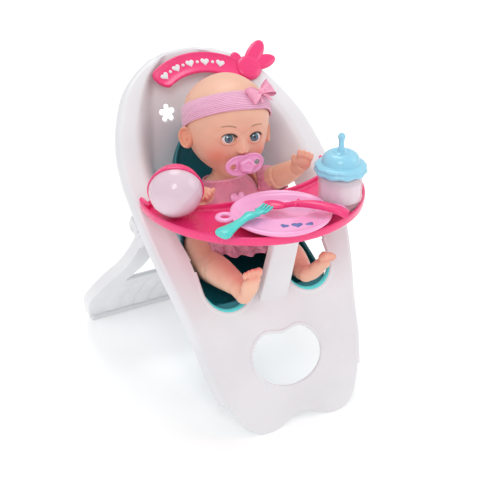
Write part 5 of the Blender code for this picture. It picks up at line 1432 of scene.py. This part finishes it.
def soother():
    """A shield of two wings, each a band from its vent to its outline, a turned knob with five petals, and a teat."""
    patches = []
    front = np.array((0, -1.0, 0))
    centre = np.array((0, -4.5, MOUTH_Z))

    def seated(points):
        """The mouth's place: rolled so that the doll's left wing rises, and set a little out and down."""
        return head_place((np.asarray(points) - centre) @ turn("Y", -8).T + centre + (0.18, -0.12, -0.25))

    for side in (-1, 1):
        a = circle(72)
        reach = 1 + 0.55 * np.abs(np.cos(a)) ** 1.5
        x, z = 1.25 * reach * np.cos(a), 0.95 * reach * np.sin(a)
        x = np.maximum(x * side, -0.02) * side
        outline = points_of(x, 0, z)
        vent = points_of(side * 1.2 + 0.27 * np.cos(a), 0, 0.27 * np.sin(a))
        profile = [
            (0, 0.06, -0.1), (0, 0.0, -0.04), (0, 0.0, 0.05), (0, 0.05, 0.13), (0, 0.16, 0.15),
            (0, 0.24, 0.11), (0.5, 0, 0.09), (1, 0.14, 0.1), (1, 0.07, 0.14), (1, 0.0, 0.1), (1, 0, -0.05),
            (1, 0.05, -0.1), (0.5, 0, -0.1),
        ]
        grid = banded(outline, vent, profile, front)
        curve = -0.16 * (np.abs(grid[..., 0:1]) / 1.9) ** 2 * front
        patches.append(ring(seated(grid + curve + (0, -4.42, MOUTH_Z))))
    teat = catmull([(0, 0), (0.3, 0), (0.3, 0.6), (0.34, 1.0), (0.2, 1.25), (0, 1.3)], 4)
    patches.append(spun(seated(turned(np.clip(teat, 0, None), 32) @ turn("X", -90).T + (0, -4.42, MOUTH_Z))))
    piece("soother_wings", patches, "pale_pink_plastic", "soother", ["soother_shield"], weld=1e-7)
    knob = catmull(
        [(0, 0.62), (0.3, 0.6), (0.48, 0.66), (0.64, 0.58), (0.7, 0.4), (0.68, 0.15), (0.6, 0.0), (0, 0.0)], 5
    )
    petals = lambda a, r, h: 0.05 * np.cos(5 * a) * eased(r, 0.35, 0.6)
    grid = turned(np.clip(knob, 0, None), 90, petals) @ turn("X", 90).T + (0, -4.58, MOUTH_Z)
    piece("soother_flower", [spun(seated(grid))], "pale_pink_plastic", "soother", ["soother_knob"])


def round_head(angle, lift, ease):
    """The head's skin cut by the band's slanted plane, that far along its normal; a quadratic in the reach."""
    tilt = turn("X", BAND_SLOPE)
    normal, side, back = tilt @ (0, 0, 1.0), np.array((1.0, 0, 0)), tilt @ (0, 1.0, 0)
    centre = np.array((0, 0, BAND_Z)) + normal * lift[..., None]
    radii = np.array(HEAD) + BAND_GAP
    direction = side * np.sin(angle)[..., None] - back * np.cos(angle)[..., None]
    a = ((direction / radii) ** 2).sum(-1)
    b = 2 * (direction * centre / radii**2).sum(-1)
    c = ((centre / radii) ** 2).sum(-1) - 1
    reach = (-b + np.sqrt(b * b - 4 * a * c)) / (2 * a)
    point = centre + direction * reach[..., None]
    bulge = 0.22 * spot(point[..., 0], point[..., 2], 0, 1.9, 2.0, 1.4) * eased(-point[..., 1], 0.2, 2.6)
    return swollen(point) + unit(point / radii**2) * (bulge + ease)[..., None]


def headband():
    """A ribbed band on a slanted section of the head; its edges roll and it gathers a little under the bow."""
    angle = circle(300)[None]
    share = np.linspace(-1, 1, 42)[:, None]
    pinch = 1 - 0.18 * bump(np.angle(np.exp(1j * (angle - 0.62))), 0.28)
    lift = 0.95 * share * pinch
    ease = (
        0.05 + 0.05 * np.sqrt(np.clip(1 - share**4, 0, 1)) + 0.015 * np.sin(share * 9 + 3 * np.sin(angle * 2))
    )
    grid = round_head(angle, lift, ease)
    mesh = mesh_of("headband_knit", [spun(head_place(grid))])
    number(mesh, "rib", (in_head(mesh) - (0, 0, BAND_Z)) @ (turn("X", BAND_SLOPE) @ (0, 0, 1.0)) / 0.17)
    band = show("headband_knit", mesh, "knit", "head", ["headband"], slot="knit", wall=0.09 * CM)


def bow():
    """Two pinched loops, each a ribbon that runs out and back, two tails and a wrapped knot."""
    at = np.array((2.0, -3.2, 3.15))
    out, across = unit(np.array((0.42, -0.62, 0.66))), unit(np.array((0.8, 0.55, 0.1)))
    tall = np.cross(out, across)
    patches = []
    t = np.linspace(0, 1, 50)[:, None]
    w = np.linspace(-1, 1, 18)[None]
    for side in (-1, 1):
        reach = 1.7 * np.sin(math.pi * t) ** 0.8
        puff = 0.34 * np.sin(TAU * t)
        width = 0.2 + 0.66 * np.sin(math.pi * t) ** 0.9
        fold = 0.06 * np.sin(w * 7) * (1 - np.sin(math.pi * t) ** 2) + 0.03 * np.sin(w * 5 + 6 * t)
        grid = (at + across * (side * reach)[..., None] + out * (0.25 + puff + fold)[..., None]
                + tall * (width * w)[..., None])
        patches.append(sheet_patch(head_place(grid)))
        tail = np.linspace(0, 1, 24)[:, None]
        grid = (
            at + across * (side * 0.75 * tail)[..., None]
            + out * (0.14 + 0.1 * tail + 0.04 * np.sin(w * 6 + 3 * tail))[..., None]
            + tall * ((0.14 + 0.22 * tail) * w - tail)[..., None]
        )
        patches.append(sheet_patch(head_place(grid)))
    mesh = mesh_of("bow_loops", patches, outward=False)
    loops = show("bow_loops", mesh, "bow_satin", "head", ["bow"], slot="satin", wall=0.03 * CM)
    a = circle(40)[None]
    s = np.linspace(0, math.pi, 22)[:, None]
    pleat = 1 + 0.08 * np.sin(9 * a)
    grid = (
        at + out * 0.3 + across * (0.26 * np.sin(s) * np.cos(a) * pleat)[..., None]
        + out * (0.26 * np.sin(s) * np.sin(a) * pleat)[..., None]
        + tall * (0.3 * np.cos(s) + 0 * a)[..., None]
    )
    piece("bow_knot", [spun(head_place(grid))], "bow_satin", "head", slot="satin")


def organic(name, patches, body, nodes, voxel=0.00062, smooth=4):
    """Overlapping closed forms melted into one skin by a voxel remesh and smoothed."""
    obj = piece(name, patches, "skin_vinyl", body, nodes, sharp=80, weld=1e-7)
    remesh = obj.modifiers.new("melt", "REMESH")
    remesh.mode = "VOXEL"
    remesh.voxel_size = voxel
    soften = obj.modifiers.new("soften", "SMOOTH")
    soften.factor = 0.5
    soften.iterations = smooth
    return settled(obj, 80)


def capsule(a, b, r_a, r_b, rows=8):
    """A finger joint: a bar between two points whose ends are round."""
    t = np.linspace(0, 1, rows)[:, None]
    path = np.asarray(a, float) * (1 - t) + np.asarray(b, float) * t
    grid = swept(path, round_section(14), np.linspace(r_a, r_b, rows))
    return [
        spun(chair(grid)), spun(chair(ball_grid((r_a,) * 3, 12, 14) + a)),
        spun(chair(ball_grid((r_b,) * 3, 12, 14) + b)),
    ]


def flesh(route, radii, creases=()):
    """A limb: radii read along a smooth route, pinched where a crease is."""
    keys = np.c_[np.asarray(route, float), radii]
    path = even(catmull(keys, 14), 90)
    t = np.linspace(0, 1, len(path))
    size = path[:, 3] - sum(0.09 * bump(t - at, 0.018) for at in creases)
    return spun(chair(swept(path[:, :3], round_section(30), size)))


def lump(radii, rows, columns, basis, at):
    """An ellipsoid along its own directions, set at a place."""
    return spun(chair(ball_grid(radii, rows, columns) @ basis.T + at))


def arms():
    """Chubby bent arms from the sleeves to open hands with four fingers and a thumb."""
    shoulder = lambda side: leaned((side * 3.72, 0.0, 5.6))
    upper = lambda side: leaned((side * 4.27, -0.15, 5.35))
    arms_are = {
        "left": (
            1, [(5.2, 13.2, 19.7), (5.75, 11.6, 20.9)], (5.9, 10.6, 21.75), (0.12, -0.45, 0.88),
            (0.85, -0.45, -0.2),
        ),
        "right": (
            -1, [(-5.05, 12.6, 19.8), (-5.1, 10.6, 20.9)], (-5.1, 9.4, 21.45), (-0.06, -0.92, 0.36),
            (0.85, 0.1, 0.5),
        ),
    }
    for word, (side, route, palm, along, across) in arms_are.items():
        along = unit(np.array(along, float))
        across = unit(np.array(across, float) - along * (np.array(across, float) @ along))
        facing = np.cross(along, across)
        grown = 1.0 if side > 0 else 0.82
        palm = np.array(palm)
        points = [shoulder(side) - (side * 0.6, 0, 0), shoulder(side), upper(side), *route, palm]
        patches = [flesh(points, [0.9, 1.1, 1.2, 1.16, 0.92, 0.7], (0.5, 0.86))]
        basis = points_of(across, facing, along)
        patches.append(lump(grown * np.array((0.88, 0.52, 0.78)), 22, 28, basis, palm + along * 0.1))
        patches.append(lump((0.3, 0.3, 0.4), 14, 18, basis, palm - across * 0.5 + facing * 0.12))
        for index, spread in enumerate((-0.5, -0.17, 0.17, 0.48)):
            root = palm + across * spread * grown + along * 0.55 * grown
            lean = unit(along + across * spread * 0.55 + facing * 0.25)
            curl = unit(along + across * spread * 0.5 + facing * (0.8 + 0.12 * index))
            long = (0.4, 0.45, 0.42, 0.34)[index] * grown
            mid = root + lean * long
            patches += capsule(root, mid, 0.26 * grown, 0.25 * grown)
            patches += capsule(mid, mid + curl * 0.36 * grown, 0.25 * grown, 0.21 * grown)
        root = palm - across * 0.62 * grown - along * 0.1
        knuckle = root + (along * 0.3 + facing * 0.12 - across * 0.32) * grown
        patches += (
            capsule(root, knuckle, 0.29, 0.25)
            + capsule(knuckle, knuckle + along * 0.3 + facing * 0.14 - across * 0.05, 0.25, 0.2)
        )
        arm = organic(f"arm_skin_{word}", patches, f"arm_{word}", [f"arm_{word}"])
        local = in_chair(arm.data)
        number(
            arm.data, "blush",
            0.6 * eased((local - palm) @ along, 0.3, 1.2) * bump(np.linalg.norm(local - palm, axis=1), 2.2),
        )


def legs():
    """Bent legs with a crease at the knee and ankle, a flat-soled foot and five round toes."""
    start = lambda side: leaned((side * 4.15, -0.3, 0.8))
    after = lambda side: leaned((side * 4.15, -1.0, 0.7))
    legs_are = {
        "left": (
            1, [(3.9, 11.4, 12.9), (4.0, 9.2, 12.75), (3.8, 7.0, 12.5)], (3.75, 6.0, 12.55), (4.5, 5.3, 13.0),
            (2.1, -1.5, 3.4),
        ),
        "right": (
            -1, [(-4.1, 11.3, 13.1), (-4.4, 8.4, 13.6), (-4.35, 5.4, 13.7)], (-4.2, 4.3, 13.2),
            (-4.1, 3.2, 14.4), (0, -1.5, 4.2),
        ),
    }
    for word, (side, route, heel, foot, toward) in legs_are.items():
        along = unit(np.array(toward, float))
        heel, foot = np.array(heel, float), np.array(foot, float)
        sole = unit(foot - heel + (0, -2.0, 0))
        sole = unit(sole - along * (sole @ along))
        across = np.cross(along, sole)
        patches = [flesh([start(side) - (side * 0.8, 0, 0), start(side), after(side), *route, heel],
                         [0.9, 1.0, 1.5, 1.55, 1.42, 1.05, 0.85], (0.56, 0.9))]
        basis = points_of(across, sole, along)
        patches.append(lump((0.86, 0.78, 0.95), 22, 28, basis, heel + (0, -0.15, 0)))
        patches.append(lump((0.92, 0.6, 1.6), 30, 34, basis, foot - sole * 0.08))
        patches.append(lump((0.8, 0.42, 0.6), 20, 24, basis, foot + along * 0.95 + sole * 0.12))
        inner = -side * np.sign(across[0] if abs(across[0]) > 0.05 else 1)
        for index, spread in enumerate((-0.66, -0.36, -0.08, 0.18, 0.46)):
            size = (0.24, 0.25, 0.265, 0.28, 0.37)[index]
            toe = (
                foot + across * inner * spread * 1.3 + along * (1.72 + 0.25 * math.sin((index + 1) * 0.6))
                - sole * 0.12
            )
            patches += capsule(toe - along * 0.3, toe + along * 0.02, size * 0.95, size)
        leg = organic(f"leg_skin_{word}", patches, f"leg_{word}", [f"leg_{word}"])
        local = in_chair(leg.data)
        number(
            leg.data, "blush",
            0.6 * eased((local - foot) @ along, 0.7, 1.7)
            + 0.3 * bump(np.linalg.norm(local - heel, axis=1), 1.0),
        )


def body_ring(z):
    """Half width, half depth and middle of the torso at that height: belly, chest, shoulders and neck."""
    keys = np.array(
        [
            (-1.1, 0.02, 0.02, 0.2), (-0.9, 1.2, 1.0, 0.2), (-0.3, 2.4, 1.9, 0.1), (0.8, 3.2, 2.5, 0),
            (2.4, 3.45, 2.72, -0.05), (3.8, 3.3, 2.6, -0.05), (5.2, 3.1, 2.3, 0), (6.1, 2.75, 1.95, 0),
            (6.8, 1.9, 1.5, -0.1), (7.3, 1.3, 1.25, -0.3), (8.2, 1.15, 1.15, -0.45), (8.8, 1.1, 1.1, -0.5),
        ]
    )
    smooth = catmull(keys, 8)
    return tuple(np.interp(z, smooth[:, 0], smooth[:, column]) for column in (1, 2, 3))


def wrapped(z, angle, ease):
    """Points round the torso at that height and angle from the front, that far off its skin."""
    wide, deep, middle = body_ring(z)
    return points_of((wide + ease) * np.sin(angle), middle - (deep + ease) * np.cos(angle), z)


def torso():
    """The skin under the clothes: rings round the body from the hips to the neck, closed at the top."""
    z = np.linspace(-1.1, 8.7, 110)[:, None]
    angle = circle(120)[None]
    grid = wrapped(z, angle, -0.04)
    grid = np.concatenate([grid, np.repeat(grid[-1:].mean(axis=1, keepdims=True), 120, axis=1)])
    mesh = mesh_of("body_skin", [spun(doll(grid))])
    number(mesh, "blush", np.full(len(mesh.vertices), 0.1))
    show(
        "body_skin", mesh, "skin_vinyl", "chair", ["torso_front", "torso_back", "battery_door", "neck_plug"],
        sharp=80,
    )


def bodice():
    """A satin top: rings round the torso, eased out by creases that run from the arms and gathers at the hem."""
    z = np.linspace(2.1, 6.75, 70)[:, None]
    angle = circle(220)[None]
    hem, neck = bump(z - 2.1, 0.9), bump(z - 6.75, 0.5)
    fold = 0.05 * np.sin(16 * angle + 2 * np.sin(z)) * hem + 0.045 * np.sin(24 * angle) * neck
    fold += 0.05 * np.sin(2.6 * z + 6.4 * np.abs(np.sin(angle))) * eased(np.abs(np.sin(angle)), 0.3, 1.0)
    fold += 0.03 * np.sin(5 * angle + 1.7 * z)
    grid = wrapped(z, angle, 0.15 + fold)
    mesh = mesh_of("top_satin", [spun(doll(grid))])
    top = show("top_satin", mesh, "satin", "chair", ["bodice"], wall=0.05 * CM)
    a = circle(160)
    for name, height, size, waves in (("neck_trim", 6.75, 0.11, 30), ("waist_ribbon", 2.35, 0.17, 26)):
        path = wrapped(height + 0.03 * np.sin(waves * a), a, 0.2 + 0.02 * np.sin(waves * a))
        grid = swept(
            path, round_section(14, 2.2, size * 0.6, size), 1 + 0.12 * np.sin(waves * a), closed=True
        )
        piece(name, [ring(doll(grid))], "bow_satin", "chair", slot="satin")
    heart = small_heart((0, 0), 0.78, 0, 0.0, 0.16) @ turn("X", 90).T
    x, z = heart[..., 0], heart[..., 2] + BUTTON_Z
    wide, deep, middle = body_ring(z)
    y = middle - (deep + 0.3) * np.sqrt(np.clip(1 - (x / (wide + 0.3)) ** 2, 0, 1)) + heart[..., 1]
    patch = points_of(x, y, z)
    piece("heart_button", [spun(doll(patch))], "pale_pink_plastic", "tummy_button", ["tummy_button"])


def sleeves():
    """Short puffed sleeves: rings along the upper arm that swell, gather into pleats and end in a frill."""
    for word, route in (
        ("left", [(3.3, 0, 5.5), (4.3, -0.2, 5.35), (5.0, -1.1, 5.35), (5.3, -1.7, 5.5)]),
        ("right", [(-3.2, 0, 5.5), (-4.2, -0.2, 5.35), (-4.75, -1.1, 5.3), (-4.95, -1.8, 5.4)]),
    ):
        path = even(catmull(route, 12), 44)
        t = np.linspace(0, 1, 44)[:, None]
        a = circle(110)[None]
        size = 1.2 + 0.42 * np.sin(math.pi * np.clip(t / 0.86, 0, 1)) ** 0.7 + 0.16 * eased(t, 0.88, 1.0)
        pleats = (
            0.05 * np.sin(15 * a) * (1 - 0.7 * bump(t - 0.45, 0.25))
            + 0.12 * np.sin(20 * a) * eased(t, 0.88, 1.0)
        )
        _, across, up = frames(path)
        reach = (size + pleats)[..., None]
        grid = (
            path[:, None] + across[:, None] * (reach * np.cos(a)[..., None])
            + up[:, None] * (reach * np.sin(a)[..., None])
        )
        mesh = mesh_of(f"puff_{word}", [spun(doll(grid))])
        obj = show(f"puff_{word}", mesh, "satin", f"arm_{word}", [f"sleeve_{word}"], wall=0.05 * CM)


def skirt():
    """Three layers of net from the waist: each falls outwards and its ruffles deepen towards the hem."""
    angle = circle(420)[None]
    share = np.linspace(0, 1, 34)[:, None]
    facing = 0.5 * (1 + np.cos(angle))
    for index, (length, waves, phase, spread) in enumerate(
        ((1.0, 21, 0.0, 0.0), (0.93, 25, 1.1, 0.18), (0.84, 18, 2.3, 0.34))
    ):
        s = share * length
        ruffle = (0.03 + 0.24 * s) * np.sin(waves * angle + phase + 0.6 * np.sin(3 * angle)) * s
        ruffle += 0.06 * np.sin(2.1 * waves * angle + 2 * phase) * s**2
        half_x = 3.66 + (0.3 + 1.25 * facing) * s + ruffle
        half_y = 2.95 + (0.25 + 2.5 * facing**2) * s + ruffle
        drop = (1.5 + 1.3 * facing**2) * s**1.4 - spread * s
        z = 2.8 - drop + 0.12 * np.sin(waves * angle + phase + 1.2) * s
        grid = points_of(half_x * np.sin(angle), -half_y * np.cos(angle), z)
        mesh = mesh_of(f"net_layer_{index}", [spun(doll(grid))])
        layer = show(
            f"net_layer_{index}", mesh, "tulle", "chair", ["skirt"] if index == 0
            else (), slot="tulle", wall=0.02 * CM
        )
        edge = swept(even(grid[-1], 420, True), round_section(6, 2, 0.035, 0.035), closed=True)
        piece(f"net_hem_{index}", [ring(doll(edge))], "bow_satin", "chair", slot="satin")


def briefs():
    """Satin briefs: the torso's lower rings, eased out by fine gathers, with a frilled band round each leg."""
    z = np.linspace(-1.1, 2.3, 60)[:, None]
    angle = circle(200)[None]
    fold = (
        0.04 * np.sin(22 * angle + z) + 0.05 * np.sin(9 * angle + 2.3 * z) + 0.03 * np.sin(4 * z + 6 * angle)
    )
    grid = wrapped(z, angle, 0.16 + fold * eased(z, -1.0, 0.2))
    mesh = mesh_of("briefs_satin", [spun(doll(grid))])
    cloth = show("briefs_satin", mesh, "lilac_satin", "chair", ["briefs"], slot="satin", wall=0.05 * CM)
    a = circle(150)
    for side, word in SIDES:
        frill = 1 + 0.06 * np.sin(18 * a)
        centre = np.array((side * 3.45, -1.0, 0.7))
        y = (1.296 * frill - 0.33) * np.cos(a)
        path = centre + points_of(side * (0.35 * np.cos(a) - 0.1), y, 1.62 * np.sin(a) * frill)
        grid = swept(path, round_section(12, 2, 0.16, 0.2), 1 + 0.15 * np.sin(18 * a + 1), closed=True)
        piece(f"leg_frill_{word}", [ring(doll(grid))], "lilac_satin", "chair", slot="satin")


def inner_nodes():
    """The sealed pieces keep their own shape and take a finish that fits them."""
    kept = {
        "module_case": "black_plastic", "speaker": "black_plastic", "circuit_board": "board_laminate",
        "button_cell_a": "steel", "button_cell_b": "steel", "button_cell_c": "steel", "door_screw": "steel",
    }
    for node, finish in kept.items():
        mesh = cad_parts[node].data
        mesh.materials.clear()
        mesh.materials.append(FINISHES[finish])


# ---------------------------------------------------------------- studio
CAMERA_AT = (-0.5749, -1.0190, 0.7271)
CAMERA_WAY = (0.4455, 0.7717, -0.4540)
LENS = 96.98
SURROUND = 0.72
LIGHTS = (
    ("key", (-0.9, -1.3, 1.6), 0.8, 8.0),
    ("fill", (1.4, -0.7, 1.0), 1.0, 3.5),
    ("top", (0.2, 0.6, 1.8), 1.0, 8.0),
)


def studio():
    """A pale floor, a bright even surround, a large key from the left, a fill, and the camera."""
    scene = bpy.context.scene
    world = bpy.data.worlds.new("surround")
    world.use_nodes = True
    background = world.node_tree.nodes["Background"]
    background.inputs["Color"].default_value = (1.0, 1.0, 1.0, 1.0)
    background.inputs["Strength"].default_value = SURROUND
    scene.world = world
    scene.view_settings.view_transform = "Standard"

    finish = Finish("floor")
    tone = finish.noise(3, 2)
    finish.done(
        Base_Color=finish.mix(tone, (0.955, 0.955, 0.955), (0.97, 0.97, 0.97)), Roughness=0.6 + tone * 0.05,
        Emission_Color=(1.0, 1.0, 1.0), Emission_Strength=0.2,
    )
    reach = 6.0
    mesh = bpy.data.meshes.new("floor")
    low = CAD_BOX[0][2] - 0.0004
    mesh.from_pydata(
        [(-reach, -reach, low), (reach, -reach, low), (reach, reach, low), (-reach, reach, low)], [],
        [(0, 1, 2, 3)],
    )
    mesh.materials.append(finish.material)
    floor = bpy.data.objects.new("floor", mesh)
    scene.collection.objects.link(floor)

    target = np.array((0.0, 0.02, 0.16))
    for name, at, size, power in LIGHTS:
        light = bpy.data.lights.new(name, "AREA")
        light.shape = "DISK"
        light.size = size
        light.energy = power
        obj = bpy.data.objects.new(name, light)
        obj.matrix_world = aimed(np.array(at), target - np.array(at))
        scene.collection.objects.link(obj)

    camera = bpy.data.cameras.new("camera")
    camera.lens = LENS
    camera.sensor_width = 36.0
    camera.clip_start = 0.01
    obj = bpy.data.objects.new("camera", camera)
    obj.matrix_world = aimed(np.array(CAMERA_AT), np.array(CAMERA_WAY))
    scene.collection.objects.link(obj)
    scene.camera = obj


def aimed(at, forward):
    """A matrix at a place whose -Z looks along a direction and whose X stays level."""
    forward = unit(forward)
    right = unit(np.cross(forward, (0, 0, 1.0)))
    up = np.cross(right, forward)
    matrix = np.eye(4)
    matrix[:3, 0], matrix[:3, 1], matrix[:3, 2], matrix[:3, 3] = right, up, -forward, at
    return Matrix(matrix.tolist())


studio()
chair_frame()
strut()
seat_screws()
hinges()
rear_leg()
seat()
banner()
tray()
bottle()
ball()
plate()
cutlery()
torso()
bodice()
briefs()
skirt()
arms()
sleeves()
legs()
head()
headband()
bow()
soother()
inner_nodes()
